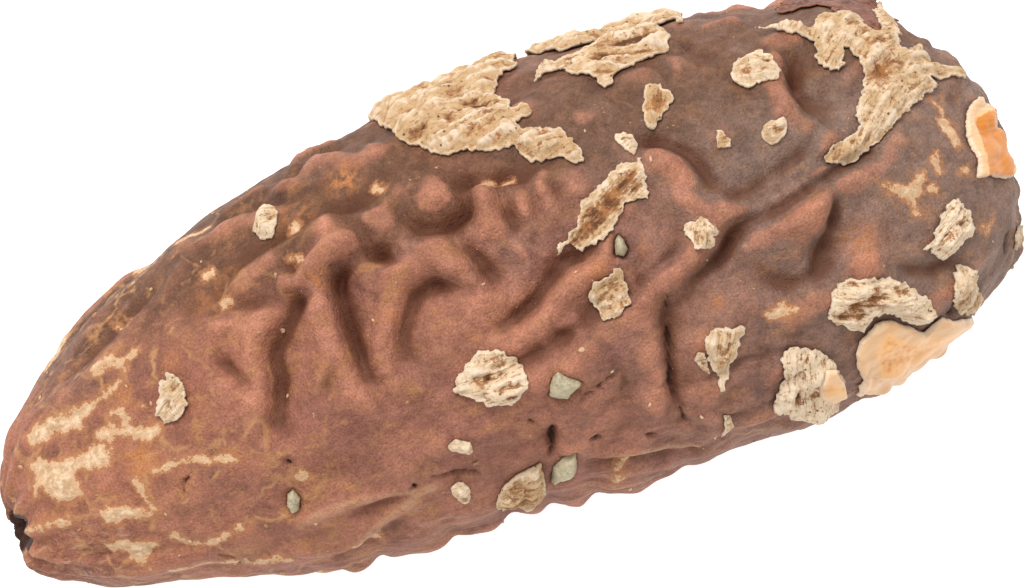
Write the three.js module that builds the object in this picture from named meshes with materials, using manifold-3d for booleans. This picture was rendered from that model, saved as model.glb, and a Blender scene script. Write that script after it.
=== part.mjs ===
// A dried raffia palm seed, lying on its side, with scraps of its husk still stuck to it.
// Millimetres. +X runs from the narrow germ end to the broad end, +Y across the seed and +Z up.
// Places on the seed are given as it is seen from above: mm from the narrow tip, then mm across.
import * as THREE from "three";
import { mergeVertices } from "three/addons/utils/BufferGeometryUtils.js";
import Module from "manifold-3d";

// The bare seed's length, how full its section is, and the middle of the whole part seen from above.
const LENGTH = 61.6;
const SECTION_POWER = 2.25;
const MIDDLE = [31.3, 0.3];

// The seed's outline: mm from the tip, its two sides across, its underside and its top.
const STATIONS = [
  [0.0, -2.6, -2.6, 9.8, 9.8],
  [0.12, -3.6, -1.5, 8.8, 10.8],
  [0.55, -5.3, -0.3, 7.2, 12.2],
  [1.4, -6.3, 1.4, 5.8, 13.6],
  [3.0, -6.9, 3.5, 4.8, 15.3],
  [6.0, -8.2, 5.6, 3.5, 17.1],
  [10.0, -9.2, 7.8, 2.4, 18.9],
  [16.0, -10.8, 10.0, 1.2, 21.0],
  [22.0, -11.4, 11.6, 0.4, 22.8],
  [28.0, -11.7, 12.4, 0.1, 23.8],
  [34.0, -12.4, 12.6, -0.3, 24.3],
  [40.0, -12.9, 12.4, -0.3, 24.3],
  [46.0, -12.7, 11.9, 0.3, 23.7],
  [51.0, -11.7, 10.7, 1.4, 22.5],
  [55.0, -10.5, 9.4, 3.0, 20.9],
  [58.0, -9.0, 7.0, 4.9, 18.8],
  [60.0, -7.6, 4.7, 6.9, 16.8],
  [61.0, -5.6, 3.1, 8.7, 15.0],
  [61.5, -3.1, 1.8, 10.3, 13.3],
  [LENGTH, -0.6, -0.6, 11.8, 11.8],
];

// Facets of the skin: rings along the seed and columns round it, which lie closer together on top.
const RINGS = 82;
const COLUMNS = 68;
const TOP_CROWDING = 0.25;

// Creases of the shrunken skin: how wide and deep each is, then its path.
const FOLDS = [
  [1.0, 1.1, [24.4, 5.0], [23.2, 4.5], [22.8, 3.0], [22.7, 1.0], [22.8, -1.5]],
  [1.0, 0.9, [28.2, 2.2], [27.0, 2.0], [26.2, 1.2], [25.6, 0.4], [25.0, -1.0]],
  [1.0, 1.0, [20.6, 3.9], [19.0, 2.6], [18.1, 1.5], [17.9, 0.0], [17.0, -2.0]],
  [1.0, 0.8, [24.7, 7.3], [25.3, 6.4], [25.5, 5.3], [26.2, 4.6]],
  [0.9, 0.5, [21.0, 5.9], [22.8, 6.6], [24.2, 6.8]],
  [1.0, 0.7, [28.0, 6.3], [28.7, 5.5], [30.0, 5.3], [31.3, 5.7], [31.6, 7.0]],
  [1.0, 0.8, [30.3, 3.9], [30.9, 3.0], [31.4, 1.5]],
  [0.9, 0.5, [15.3, 2.2], [15.9, 1.2], [16.4, 0.4]],
  [1.0, 0.5, [15.0, 5.2], [17.0, 5.1], [18.6, 4.6], [20.3, 4.1]],
  [1.2, 0.6, [16.0, 6.2], [18.0, 7.3], [21.0, 8.0], [24.0, 8.4], [26.5, 8.3]],
  [0.9, 0.6, [33.5, 6.3], [33.4, 4.8], [33.6, 3.4]],
  [0.9, 0.5, [35.2, 5.7], [35.2, 3.7]],
  [1.0, 0.6, [31.6, 7.6], [33.0, 7.0], [34.6, 6.6]],
  [1.1, 0.5, [31.0, -1.4], [33.0, -0.6], [35.0, 0.6], [37.0, 1.1]],
  [1.3, 0.5, [30.5, -3.7], [34.0, -3.0], [36.5, -2.3]],
  [1.2, 0.6, [42.0, 6.0], [43.2, 5.4], [44.2, 4.4], [45.0, 2.4]],
  [1.3, 0.6, [45.2, -0.8], [44.0, -1.9], [42.0, -2.7]],
  [1.2, 0.8, [51.3, 0.0], [51.0, -1.5], [50.2, -2.8], [49.3, -4.1]],
  [1.2, 0.4, [46.8, -0.9], [49.0, -0.3], [51.3, 0.4], [54.0, 1.0]],
  [1.2, 0.5, [52.0, 7.2], [51.4, 6.0], [51.8, 4.6]],
  [1.2, 0.6, [46.0, -4.0], [47.5, -4.8], [49.5, -4.6]],
  [1.0, 0.5, [31.1, -9.4], [31.4, -8.5], [31.7, -7.7]],
  [0.9, 0.6, [40.2, -2.9], [39.6, -5.2], [39.1, -7.4], [38.8, -9.0]],
  [1.2, 0.5, [53.0, -5.5], [54.6, -6.6], [56.6, -6.7]],
  [1.3, 0.6, [14.0, -8.7], [18.0, -8.7], [21.5, -8.5], [26.0, -8.6]],
  [1.3, 0.6, [17.5, -10.4], [20.0, -10.2], [22.0, -9.8]],
  [1.3, 0.7, [32.0, -10.6], [36.0, -11.3], [41.0, -11.7], [46.0, -11.6]],
  [1.1, 0.5, [17.0, 9.6], [19.5, 10.1], [22.4, 9.6]],
  [1.1, 0.5, [22.6, 10.9], [24.5, 11.6], [27.0, 11.0]],
  [1.1, 0.5, [3.0, -5.3], [7.0, -6.6], [12.0, -7.6]],
  [1.2, 0.4, [5.0, 3.9], [9.0, 5.6], [13.0, 7.4]],
];

// The hidden flanks and underside have creases like those on top, drawn by a seeded rule.
const HIDDEN_FOLDS = 46;
const HIDDEN_FOLDS_SEED = 41;
const CREASE = { valley: 1.35, valleySpread: 1.1, shoulder: 0.42, shoulderSpread: 2.4 };

// Broad swellings of the whole body and fine lengthwise ridges: height, then size along and across.
const SWELL = { height: 0.35, along: 8, across: 7 };
const RIDGES = { height: 0.3, along: 6, across: 2.1, slant: 0.25 };

// The pit at the narrow end, where the seed was joined to the fruit, and the puckers round it.
const PIT = { at: [0.3, -2.75, 11.2], radius: 1.15, depth: 1.7 };
const PUCKERS = { count: 11, depth: 0.22, middle: 1.6 };

// Low lumps: small crumbs of husk and hard grit grown into the skin. Place, radius, height.
const LUMPS = [
  [20.4, 8.8, 0.9, 0.6],
  [26.5, -6.9, 0.7, 0.4],
  [25.5, -9.4, 0.7, 0.5],
  [29.0, -10.6, 1.4, 0.6],
  [31.6, -10.2, 0.9, 0.5],
  [33.1, -5.5, 0.9, 0.4],
  [41.2, 6.0, 0.7, 0.5],
  [46.3, 4.4, 0.6, 0.5],
  [49.2, 3.8, 0.7, 0.5],
  [38.8, 0.7, 0.6, 0.4],
  [16.3, -6.7, 0.6, 0.4],
  [29.5, 6.6, 1.0, 0.5],
];

// Scraps of the fibrous husk that stayed on the seed. They lie just clear of the skin.
const SCRAP_CLEARANCE = 0.3;
const HUSK_THICKNESS = 0.75;
const SCALE_THICKNESS = 0.6;
const THICKNESS_SPREAD = 0.3;
const UNDERSIDE_SPREAD = 0.04;

const HUSK_SCRAPS = {
  husk_tip_patch: [
    [10.6, 0.7], [10.9, 0.0], [12.0, 0.1], [12.6, 0.7], [12.9, 1.7], [12.3, 2.7], [11.4, 2.4], [10.9, 1.4],
  ],
  husk_oval: [
    [27.1, -3.9], [28.0, -2.8], [29.2, -2.15], [30.4, -2.5], [31.1, -3.3], [31.5, -4.2], [31.1, -5.0],
    [29.6, -5.3], [28.4, -4.7],
  ],
  husk_shoulder: [
    [29.1, 10.5], [30.3, 9.7], [31.0, 9.1], [33.2, 8.5], [35.2, 8.0], [35.8, 7.0], [37.2, 6.6], [37.8, 6.0],
    [38.4, 5.9], [38.3, 7.1], [37.2, 8.3], [35.6, 8.8], [36.7, 9.4], [35.9, 10.4], [34.9, 11.5], [36.8, 12.2],
    [37.0, 13.2], [35.6, 14.6], [34.0, 14.1], [32.4, 15.2], [30.6, 14.4], [29.2, 14.0], [27.9, 13.0],
    [28.7, 11.6],
  ],
  husk_edge_strip: [
    [37.6, 12.75], [39.5, 12.25], [41.0, 12.1], [43.0, 12.5], [44.6, 12.4], [45.3, 11.9], [46.4, 11.3],
    [46.6, 12.2], [45.8, 13.2], [43.6, 14.2], [41.8, 13.7], [39.6, 14.6], [38.0, 14.0],
  ],
  husk_ridge: [
    [37.4, 11.1], [38.2, 11.75], [39.6, 11.45], [41.1, 11.4], [42.4, 11.9], [44.0, 11.85], [45.0, 11.2],
    [45.7, 10.6], [44.2, 10.1], [42.6, 10.1], [41.1, 9.2], [40.8, 9.8], [39.6, 10.5], [38.9, 11.1],
  ],
  husk_trough: [
    [35.2, 1.3], [35.7, 2.2], [37.0, 2.9], [37.5, 3.6], [39.3, 4.4], [40.3, 5.0], [41.6, 4.85], [41.5, 3.5],
    [41.2, 2.6], [39.9, 2.9], [39.3, 2.2], [37.9, 1.3], [36.7, 1.1], [36.1, 1.6],
  ],
  husk_square: [
    [36.15, -1.4], [37.2, -0.7], [38.4, -0.25], [38.5, -1.8], [37.8, -2.7], [36.5, -2.95],
  ],
  husk_chip: [
    [42.5, 0.4], [43.5, 0.65], [44.3, -0.3], [43.7, -1.0], [42.6, -0.9],
  ],
  husk_crumb: [
    [42.7, 7.2], [42.8, 6.4], [44.4, 7.2], [44.2, 8.4], [43.2, 8.5],
  ],
  husk_knob: [
    [48.15, 7.4], [48.8, 8.3], [50.0, 8.1], [50.6, 6.5], [49.9, 6.2], [48.5, 6.7],
  ],
  husk_wedge: [
    [41.5, -5.5], [43.1, -5.55], [43.8, -6.0], [42.9, -7.1], [42.3, -8.2], [41.5, -8.7], [41.3, -7.3],
  ],
  husk_pad: [
    [45.1, -8.3], [46.4, -8.0], [47.3, -8.4], [48.1, -9.9], [47.9, -10.9], [47.3, -11.8], [45.9, -12.2],
    [44.6, -11.7], [43.8, -11.0], [45.0, -9.8],
  ],
  husk_arch: [
    [48.4, -7.1], [49.1, -6.0], [50.4, -5.4], [51.7, -5.8], [52.5, -5.85], [53.4, -7.0], [54.2, -7.8],
    [53.9, -8.9], [53.2, -8.95], [52.0, -8.2], [51.0, -7.95], [50.2, -8.6], [49.3, -7.9],
  ],
  husk_bean: [
    [54.65, -5.2], [55.7, -4.3], [56.8, -3.3], [57.6, -3.2], [58.1, -4.3], [57.6, -5.3], [56.0, -6.25],
    [55.1, -5.7],
  ],
  husk_nib: [
    [55.5, -7.7], [56.6, -6.9], [57.1, -7.4], [57.1, -8.9], [56.6, -9.1], [55.7, -8.7],
  ],
  husk_fork: [
    [50.4, 9.5], [52.5, 8.8], [53.4, 8.3], [54.7, 8.5], [55.9, 8.0], [56.4, 7.0], [57.2, 7.4], [57.6, 6.0],
    [58.6, 5.3], [59.5, 3.9], [60.2, 2.9], [58.6, 3.5], [58.3, 2.9], [56.2, 2.1], [54.3, 1.1], [52.7, 0.75],
    [51.4, 1.2], [52.9, 2.1], [53.9, 2.5], [54.3, 3.8], [55.1, 5.0], [55.1, 6.5], [54.4, 6.7], [53.9, 5.75],
    [53.1, 6.3], [53.2, 7.7], [51.4, 8.6],
  ],
};

// Glossy remains of the fruit's hard scales.
const SCALE_SCRAPS = {
  scale_end: [
    [59.1, -0.1], [59.7, 0.9], [60.4, 1.5], [61.0, 1.5], [61.3, -0.3], [61.0, -2.8], [60.1, -3.0],
    [59.0, -2.5], [59.2, -1.2],
  ],
  scale_flank: [
    [49.0, -11.0], [49.3, -9.6], [50.3, -9.2], [51.4, -8.6], [52.2, -8.9], [53.2, -9.5], [54.6, -9.3],
    [55.9, -9.6], [55.0, -10.4], [52.5, -11.2], [50.5, -11.6],
  ],
};

const COLOURS = {
  seed: { color: 0x7a4a3e, roughness: 0.85, metalness: 0 },
  husk: { color: 0xcdb088, roughness: 0.9, metalness: 0 },
  scale: { color: 0xc9873f, roughness: 0.35, metalness: 0 },
};

const wasm = await Module();
wasm.setup();

// Numbers from 0 to 1 that are the same each time the model is built.
function seededRandom(seed) {
  let state = seed;
  return () => {
    state = (Math.imul(state, 1664525) + 1013904223) >>> 0;
    return state / 4294967296;
  };
}

// A repeatable number from -1 to 1 for each point of a whole-number lattice.
function latticeValue(i, j, k) {
  const wave = Math.sin(i * 127.1 + j * 311.7 + k * 74.7) * 43758.5453;
  return 2 * (wave - Math.floor(wave)) - 1;
}

// Smooth noise from -1 to 1, with lumps one unit across.
function noise(x, y, z) {
  const [i, j, k] = [Math.floor(x), Math.floor(y), Math.floor(z)];
  const ease = (t) => t * t * (3 - 2 * t);
  const [u, v, w] = [ease(x - i), ease(y - j), ease(z - k)];
  const { lerp } = THREE.MathUtils;
  const edge = (b, c) => lerp(latticeValue(i, j + b, k + c), latticeValue(i + 1, j + b, k + c), u);
  return lerp(lerp(edge(0, 0), edge(1, 0), v), lerp(edge(0, 1), edge(1, 1), v), w);
}

// The seed's outline as two smooth edges that share their places along the seed.
const lowEdge = smoothEdge(([along, low, , under]) => [along, low, under]);
const highEdge = smoothEdge(([along, , high, , top]) => [along, high, top]);

function smoothEdge(pick) {
  const points = STATIONS.map((station) => new THREE.Vector3(...pick(station)));
  return new THREE.CatmullRomCurve3(points, false, "catmullrom", 0.5);
}

// The section at a share of the stations: its centre and its half width and half height.
function sectionAt(share) {
  const low = lowEdge.getPoint(share);
  const high = highEdge.getPoint(share);
  return {
    centre: new THREE.Vector3().addVectors(low, high).multiplyScalar(0.5),
    halfWidth: (high.y - low.y) / 2,
    halfHeight: (high.z - low.z) / 2,
  };
}

// A point of the smooth body under the folds, at an angle that is 0 at +Y and a quarter turn on top.
function bodyPoint(share, angle) {
  const { centre, halfWidth, halfHeight } = sectionAt(share);
  const [c, s] = [Math.cos(angle), Math.sin(angle)];
  const fullness = (Math.abs(c) ** SECTION_POWER + Math.abs(s) ** SECTION_POWER) ** (-1 / SECTION_POWER);
  const round = new THREE.Vector3(0, halfWidth * fullness * c, halfHeight * fullness * s);
  return round.add(centre);
}

// The share of the stations at which the body is so far from the tip.
function shareAt(along) {
  let [low, high] = [0, 1];
  for (let step = 0; step < 30; step++) {
    const middle = (low + high) / 2;
    if (lowEdge.getPoint(middle).x < along) low = middle;
    else high = middle;
  }
  return (low + high) / 2;
}

// The angle round the body of a place seen from above.
function angleAt(share, across) {
  const { centre, halfWidth } = sectionAt(share);
  const sideways = THREE.MathUtils.clamp((across - centre.y) / halfWidth, -1, 1);
  const upwards = (1 - Math.abs(sideways) ** SECTION_POWER) ** (1 / SECTION_POWER);
  return Math.atan2(upwards, sideways);
}

function onTop([along, across]) {
  const share = shareAt(along);
  return bodyPoint(share, angleAt(share, across));
}

function bodyNormal(share, angle) {
  const nudge = 1e-4;
  const from = Math.max(share - nudge, nudge);
  const along = bodyPoint(from + nudge, angle).sub(bodyPoint(from, angle));
  const round = bodyPoint(from, angle + nudge).sub(bodyPoint(from, angle));
  return round.cross(along).normalize();
}

// A crease as short straight steps along a smooth path.
function crease(width, depth, points) {
  const path = new THREE.CatmullRomCurve3(points).getPoints(points.length * 3);
  const steps = path.slice(1).map((end, k) => new THREE.Line3(path[k], end));
  return { width, depth, steps, bounds: new THREE.Box3().setFromPoints(path).expandByScalar(width * 4) };
}

function topCreases() {
  return FOLDS.map(([width, depth, ...points]) => crease(width, depth, points.map(onTop)));
}

// Creases on the flanks and underside run mostly lengthwise and bend a little.
function hiddenCreases() {
  const random = seededRandom(HIDDEN_FOLDS_SEED);
  const between = (low, high) => low + (high - low) * random();
  return Array.from({ length: HIDDEN_FOLDS }, () => {
    const start = between(6, 54);
    const length = between(4, 11);
    const turn = between(-0.45, 0.45);
    const bend = between(-0.25, 0.25);
    const angle = -between(0.08, 0.92) * Math.PI;
    const points = [0, 1 / 3, 2 / 3, 1].map((part) => {
      const along = Math.min(start + length * part, LENGTH - 2);
      const sway = turn * part + bend * Math.sin(Math.PI * part);
      return bodyPoint(shareAt(along), angle + sway);
    });
    return crease(between(0.95, 1.35), between(0.35, 0.85), points);
  });
}

const creases = [...topCreases(), ...hiddenCreases()];
const lumps = LUMPS.map(([along, across, radius, height]) => ({
  at: onTop([along, across]),
  radius,
  height,
}));
const pitCentre = new THREE.Vector3(...PIT.at);

const hump = (distance, size) => Math.exp(-((distance / size) ** 2));

// A crease is a narrow valley between plump shoulders.
function creaseHeight(point) {
  const nearest = new THREE.Vector3();
  let height = 0;
  for (const { width, depth, steps, bounds } of creases) {
    if (!bounds.containsPoint(point)) continue;
    const gaps = steps.map((step) => step.closestPointToPoint(point, true, nearest).distanceTo(point));
    const gap = Math.min(...gaps);
    const shoulder = CREASE.shoulder * hump(gap, width * CREASE.shoulderSpread);
    height += depth * (shoulder - CREASE.valley * hump(gap, width * CREASE.valleySpread));
  }
  return height;
}

// Height of the skin over the smooth body. The flat spot that it rests on stays plain.
function relief(point) {
  const { x, y, z } = point;
  const swell = SWELL.height * noise(x / SWELL.along, y / SWELL.across, z / SWELL.across);
  const slanted = (y - x * RIDGES.slant) / RIDGES.across;
  const ridges = RIDGES.height * noise(x / RIDGES.along, slanted, z / RIDGES.across);
  const folds = (swell + ridges + creaseHeight(point)) * THREE.MathUtils.smoothstep(z, 0, 0.7);
  const round = Math.atan2(z - pitCentre.z, y - pitCentre.y);
  const puckers = PUCKERS.depth * Math.cos(PUCKERS.count * round) * hump(x - PUCKERS.middle, PUCKERS.middle);
  const pit = -PIT.depth * hump(point.distanceTo(pitCentre), PIT.radius);
  return lumps.reduce(
    (height, lump) => height + lump.height * hump(point.distanceTo(lump.at), lump.radius),
    folds + puckers + pit,
  );
}

// Rings are spaced evenly along the seed's outline, so they close up at its ends.
const ringShare = (ring) => highEdge.getUtoTmapping(ring / RINGS);

function columnAngle(column) {
  const even = (2 * Math.PI * (column + 0.5)) / COLUMNS;
  return even + TOP_CROWDING * Math.cos(even);
}

function columnAt(angle) {
  let even = angle;
  for (let step = 0; step < 20; step++) even = angle - TOP_CROWDING * Math.cos(even);
  return (even / (2 * Math.PI)) * COLUMNS - 0.5;
}

// Each lattice point of the skin: its place on the smooth body, which way is out, and its relief.
const lattice = new Map();

function latticePoint(ring, column) {
  const place = ring * COLUMNS + ((column + COLUMNS) % COLUMNS);
  if (!lattice.has(place)) {
    const share = ringShare(ring);
    const angle = columnAngle(column);
    const at = bodyPoint(share, angle);
    lattice.set(place, { at, out: bodyNormal(share, angle), height: relief(at) });
  }
  return lattice.get(place);
}

function skinPoint(ring, column, lift = 0) {
  const { at, out, height } = latticePoint(ring, column);
  const point = out.clone().multiplyScalar(height + lift).add(at);
  point.z = Math.max(point.z, 0);
  return point;
}

function solidOf(vertices, triangles) {
  const vertProperties = new Float32Array(vertices.flatMap((vertex) => vertex.toArray()));
  const triVerts = new Uint32Array(triangles);
  return new wasm.Manifold(new wasm.Mesh({ numProp: 3, vertProperties, triVerts }));
}

function meshOf(name, solid, finish) {
  const { vertProperties, triVerts } = solid.getMesh();
  const geometry = new THREE.BufferGeometry();
  geometry.setAttribute("position", new THREE.BufferAttribute(vertProperties, 3));
  geometry.setIndex(new THREE.BufferAttribute(triVerts, 1));
  geometry.computeVertexNormals();
  const mesh = new THREE.Mesh(geometry, new THREE.MeshStandardMaterial(finish));
  mesh.name = name;
  return mesh;
}

// The seed: rings of skin points, closed by one point at each end.
function seedSolid() {
  const vertices = [skinPoint(0, 0)];
  for (let ring = 1; ring < RINGS; ring++)
    for (let column = 0; column < COLUMNS; column++) vertices.push(skinPoint(ring, column));
  vertices.push(skinPoint(RINGS, 0));
  const last = vertices.length - 1;
  const at = (ring, column) => 1 + (ring - 1) * COLUMNS + (column % COLUMNS);
  const triangles = [];
  for (let column = 0; column < COLUMNS; column++) {
    triangles.push(0, at(1, column + 1), at(1, column));
    triangles.push(last, at(RINGS - 1, column), at(RINGS - 1, column + 1));
    for (let ring = 1; ring < RINGS - 1; ring++) {
      const [near, far] = [at(ring, column), at(ring + 1, column + 1)];
      triangles.push(near, at(ring, column + 1), far, near, far, at(ring + 1, column));
    }
  }
  return solidOf(vertices, triangles);
}

// The place of an outline's corner on the lattice. Past the widest line it goes on down the flank.
function latticePlace([along, across]) {
  const share = shareAt(along);
  const { centre, halfWidth, halfHeight } = sectionAt(share);
  const past = Math.max(across - centre.y - halfWidth, 0);
  const angle = angleAt(share, across) - past / halfHeight;
  return new THREE.Vector2(ringAt(share), columnAt(angle));
}

// The ring, as a number with a fraction, at a share of the stations.
function ringAt(share) {
  let ring = 0;
  while (ring < RINGS - 1 && ringShare(ring + 1) < share) ring++;
  return ring + (share - ringShare(ring)) / (ringShare(ring + 1) - ringShare(ring));
}

// How far above the skin a scrap's lower or upper face lies. Both are a little uneven.
function scrapLift(layer, thickness, ring, column) {
  const rough = noise(ring / 1.7, column / 1.7, layer + 0.5);
  const underside = SCRAP_CLEARANCE + UNDERSIDE_SPREAD * (1 + rough);
  return underside + layer * thickness * (1 + THICKNESS_SPREAD * rough);
}

// A flat sheet of lattice squares from one corner to the other, with its faces at their lifts.
function sheetSolid(first, last, thickness) {
  const [rows, columns] = [last.x - first.x, last.y - first.y];
  const vertices = [];
  for (const layer of [0, 1])
    for (let row = 0; row <= rows; row++)
      for (let column = 0; column <= columns; column++) {
        const [x, y] = [first.x + row, first.y + column];
        vertices.push(new THREE.Vector3(x, y, scrapLift(layer, thickness, x, y)));
      }
  const at = (layer, row, column) => (layer * (rows + 1) + row) * (columns + 1) + column;
  const triangles = [];
  const quad = (a, b, c, d) => triangles.push(a, b, c, a, c, d);
  for (let r = 0; r < rows; r++)
    for (let c = 0; c < columns; c++) {
      quad(at(0, r, c), at(0, r, c + 1), at(0, r + 1, c + 1), at(0, r + 1, c));
      quad(at(1, r, c), at(1, r + 1, c), at(1, r + 1, c + 1), at(1, r, c + 1));
    }
  for (let r = 0; r < rows; r++) {
    quad(at(0, r, 0), at(0, r + 1, 0), at(1, r + 1, 0), at(1, r, 0));
    quad(at(0, r + 1, columns), at(0, r, columns), at(1, r, columns), at(1, r + 1, columns));
  }
  for (let c = 0; c < columns; c++) {
    quad(at(0, 0, c + 1), at(0, 0, c), at(1, 0, c), at(1, 0, c + 1));
    quad(at(0, rows, c), at(0, rows, c + 1), at(1, rows, c + 1), at(1, rows, c));
  }
  return solidOf(vertices, triangles);
}

function prismSolid(corners) {
  const settings = { depth: 3 * HUSK_THICKNESS, bevelEnabled: false };
  const prism = new THREE.ExtrudeGeometry(new THREE.Shape(corners), settings);
  prism.deleteAttribute("normal");
  prism.deleteAttribute("uv");
  const { attributes, index } = mergeVertices(prism);
  const vertProperties = attributes.position.array;
  const triVerts = new Uint32Array(index.array);
  return new wasm.Manifold(new wasm.Mesh({ numProp: 3, vertProperties, triVerts }));
}

// A scrap is cut flat to its torn outline and then bent on to the skin, just clear of it.
function scrapSolid(outline, thickness) {
  const corners = outline.map(latticePlace);
  const reach = new THREE.Box2().setFromPoints(corners);
  const sheet = sheetSolid(reach.min.floor().subScalar(1), reach.max.ceil().addScalar(1), thickness);
  const { vertProperties, triVerts } = sheet.intersect(prismSolid(corners)).getMesh();
  const vertices = [];
  for (let k = 0; k < vertProperties.length; k += 3)
    vertices.push(bentPoint(...vertProperties.slice(k, k + 3)));
  // Bending mirrors the sheet, so its triangles are turned round.
  return solidOf(vertices, [...triVerts].reverse());
}

// A point over the facet of the skin that holds a place on the lattice.
function bentPoint(ring, column, lift) {
  const [r, c] = [Math.floor(ring), Math.floor(column)];
  const [u, v] = [ring - r, column - c];
  const corner = v > u ? skinPoint(r, c + 1, lift) : skinPoint(r + 1, c, lift);
  const shares = [1 - Math.max(u, v), Math.abs(u - v), Math.min(u, v)];
  const corners = [skinPoint(r, c, lift), corner, skinPoint(r + 1, c + 1, lift)];
  return corners.reduce((sum, point, k) => sum.addScaledVector(point, shares[k]), new THREE.Vector3());
}

// The part lies with its middle, seen from above, over the origin.
const seed = new THREE.Group();
seed.add(meshOf("seed", seedSolid(), COLOURS.seed));
for (const [name, outline] of Object.entries(HUSK_SCRAPS))
  seed.add(meshOf(name, scrapSolid(outline, HUSK_THICKNESS), COLOURS.husk));
for (const [name, outline] of Object.entries(SCALE_SCRAPS))
  seed.add(meshOf(name, scrapSolid(outline, SCALE_THICKNESS), COLOURS.scale));
seed.position.set(-MIDDLE[0], -MIDDLE[1], 0);

export default seed;
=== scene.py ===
"""A dried raffia palm seed with scraps of its husk still on it, seen from straight above."""

import math

import bmesh
import bpy
import numpy as np
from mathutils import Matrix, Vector
from mathutils.geometry import delaunay_2d_cdt


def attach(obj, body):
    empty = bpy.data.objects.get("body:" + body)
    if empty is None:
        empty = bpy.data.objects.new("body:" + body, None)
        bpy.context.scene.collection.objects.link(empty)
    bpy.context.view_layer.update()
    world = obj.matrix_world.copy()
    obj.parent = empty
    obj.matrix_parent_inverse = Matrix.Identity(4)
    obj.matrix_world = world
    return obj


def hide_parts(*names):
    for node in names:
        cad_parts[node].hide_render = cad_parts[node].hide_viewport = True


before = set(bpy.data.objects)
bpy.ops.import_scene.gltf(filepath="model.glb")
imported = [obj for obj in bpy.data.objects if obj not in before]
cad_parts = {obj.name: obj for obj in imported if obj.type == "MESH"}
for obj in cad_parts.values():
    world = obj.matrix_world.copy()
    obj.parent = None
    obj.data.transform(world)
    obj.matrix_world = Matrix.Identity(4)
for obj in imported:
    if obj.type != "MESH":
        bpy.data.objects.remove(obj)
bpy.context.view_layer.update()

# The view and the light. The seed lies on a white sheet under a broad soft light, with a round
# lamp above its far side, and the camera looks straight down from far away.
VIEW_MIDDLE = (0.00081, -0.00005, 0.012)
VIEW_WIDTH = 0.05894
scene = bpy.context.scene
scene.view_settings.view_transform = "Standard"


def linked(name, data):
    """A new object of the scene that shows some data."""
    made = bpy.data.objects.new(name, data)
    scene.collection.objects.link(made)
    return made


camera = linked("camera", bpy.data.cameras.new("camera"))
camera.data.lens = 500
camera.data.sensor_width = 36
distance = VIEW_WIDTH * camera.data.lens / camera.data.sensor_width
camera.location = Vector(VIEW_MIDDLE) + Vector((0, 0, distance))
camera.rotation_euler = (0, 0, math.radians(-20))
scene.camera = camera

lamp = linked("key_light", bpy.data.lights.new("key_light", "AREA"))
lamp.data.shape = "DISK"
lamp.data.size = 0.3
lamp.data.energy = 3.0
lamp.location = (-0.02, 0.36, 0.54)
lamp.rotation_euler = (-Vector(lamp.location)).to_track_quat("-Z", "Y").to_euler()

world = bpy.data.worlds.new("studio")
world.use_nodes = True
world.node_tree.nodes["Background"].inputs["Color"].default_value = (1, 1, 1, 1)
world.node_tree.nodes["Background"].inputs["Strength"].default_value = 0.82
scene.world = world

paper = bpy.data.materials.new("paper")
paper.use_nodes = True
paper_shader = paper.node_tree.nodes["Principled BSDF"]
paper_shader.inputs["Base Color"].default_value = (0.6, 0.6, 0.6, 1)
paper_shader.inputs["Roughness"].default_value = 0.9
paper_shader.inputs["Emission Color"].default_value = (1, 1, 1, 1)
paper_shader.inputs["Emission Strength"].default_value = 0.72
sheet = bpy.data.meshes.new("floor")
corners = [(-1.5, -1.5), (1.5, -1.5), (1.5, 1.5), (-1.5, 1.5)]
sheet.from_pydata([(x, y, -0.00002) for x, y in corners], [], [(0, 1, 2, 3)])
sheet.materials.append(paper)
floor = linked("floor", sheet)

# The seed's body. One dried seed, longer than it is wide and nearly round across, narrow at its
# germ end. Places on it are mm from the narrow tip and mm across, as seen from above.
LENGTH = 61.6
SECTION_POWER = 2.25
MIDDLE = (31.3, 0.3)
STATIONS = np.array([  # mm from the tip, its two sides across, its underside and its top
    [0.0, -2.6, -2.6, 9.8, 9.8],
    [0.12, -3.6, -1.5, 8.8, 10.8],
    [0.55, -5.3, -0.3, 7.2, 12.2],
    [1.4, -6.3, 1.4, 5.8, 13.6],
    [3.0, -6.9, 3.5, 4.8, 15.3],
    [6.0, -8.2, 5.6, 3.5, 17.1],
    [10.0, -9.2, 7.8, 2.4, 18.9],
    [16.0, -10.8, 10.0, 1.2, 21.0],
    [22.0, -11.4, 11.6, 0.4, 22.8],
    [28.0, -11.7, 12.4, 0.1, 23.8],
    [34.0, -12.4, 12.6, -0.3, 24.3],
    [40.0, -12.9, 12.4, -0.3, 24.3],
    [46.0, -12.7, 11.9, 0.3, 23.7],
    [51.0, -11.7, 10.7, 1.4, 22.5],
    [55.0, -10.5, 9.4, 3.0, 20.9],
    [58.0, -9.0, 7.0, 4.9, 18.8],
    [60.0, -7.6, 4.7, 6.9, 16.8],
    [61.0, -5.6, 3.1, 8.7, 15.0],
    [61.5, -3.1, 1.8, 10.3, 13.3],
    [LENGTH, -0.6, -0.6, 11.8, 11.8],
])
GIRTH = 12.0  # mm round the body for each unit of angle, where it is unrolled


def smooth_curve(points, share):
    """Points of a smooth curve through the given ones, at shares from 0 to 1 of their number."""
    points = np.asarray(points, float)
    padded = np.vstack([2 * points[0] - points[1], points, 2 * points[-1] - points[-2]])
    place = np.clip(np.asarray(share, float), 0, 1) * (len(points) - 1)
    step = np.minimum(place.astype(int), len(points) - 2)
    t = (place - step)[..., None]
    before, start, end, after = (padded[step + k] for k in range(4))
    leaving, arriving = (end - before) / 2, (after - start) / 2
    bend = 3 * (end - start) - 2 * leaving - arriving
    twist = 2 * (start - end) + leaving + arriving
    return start + t * (leaving + t * (bend + t * twist))


SHARES = np.linspace(0, 1, 8001)
ALONG = smooth_curve(STATIONS, SHARES)[:, 0]


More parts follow.
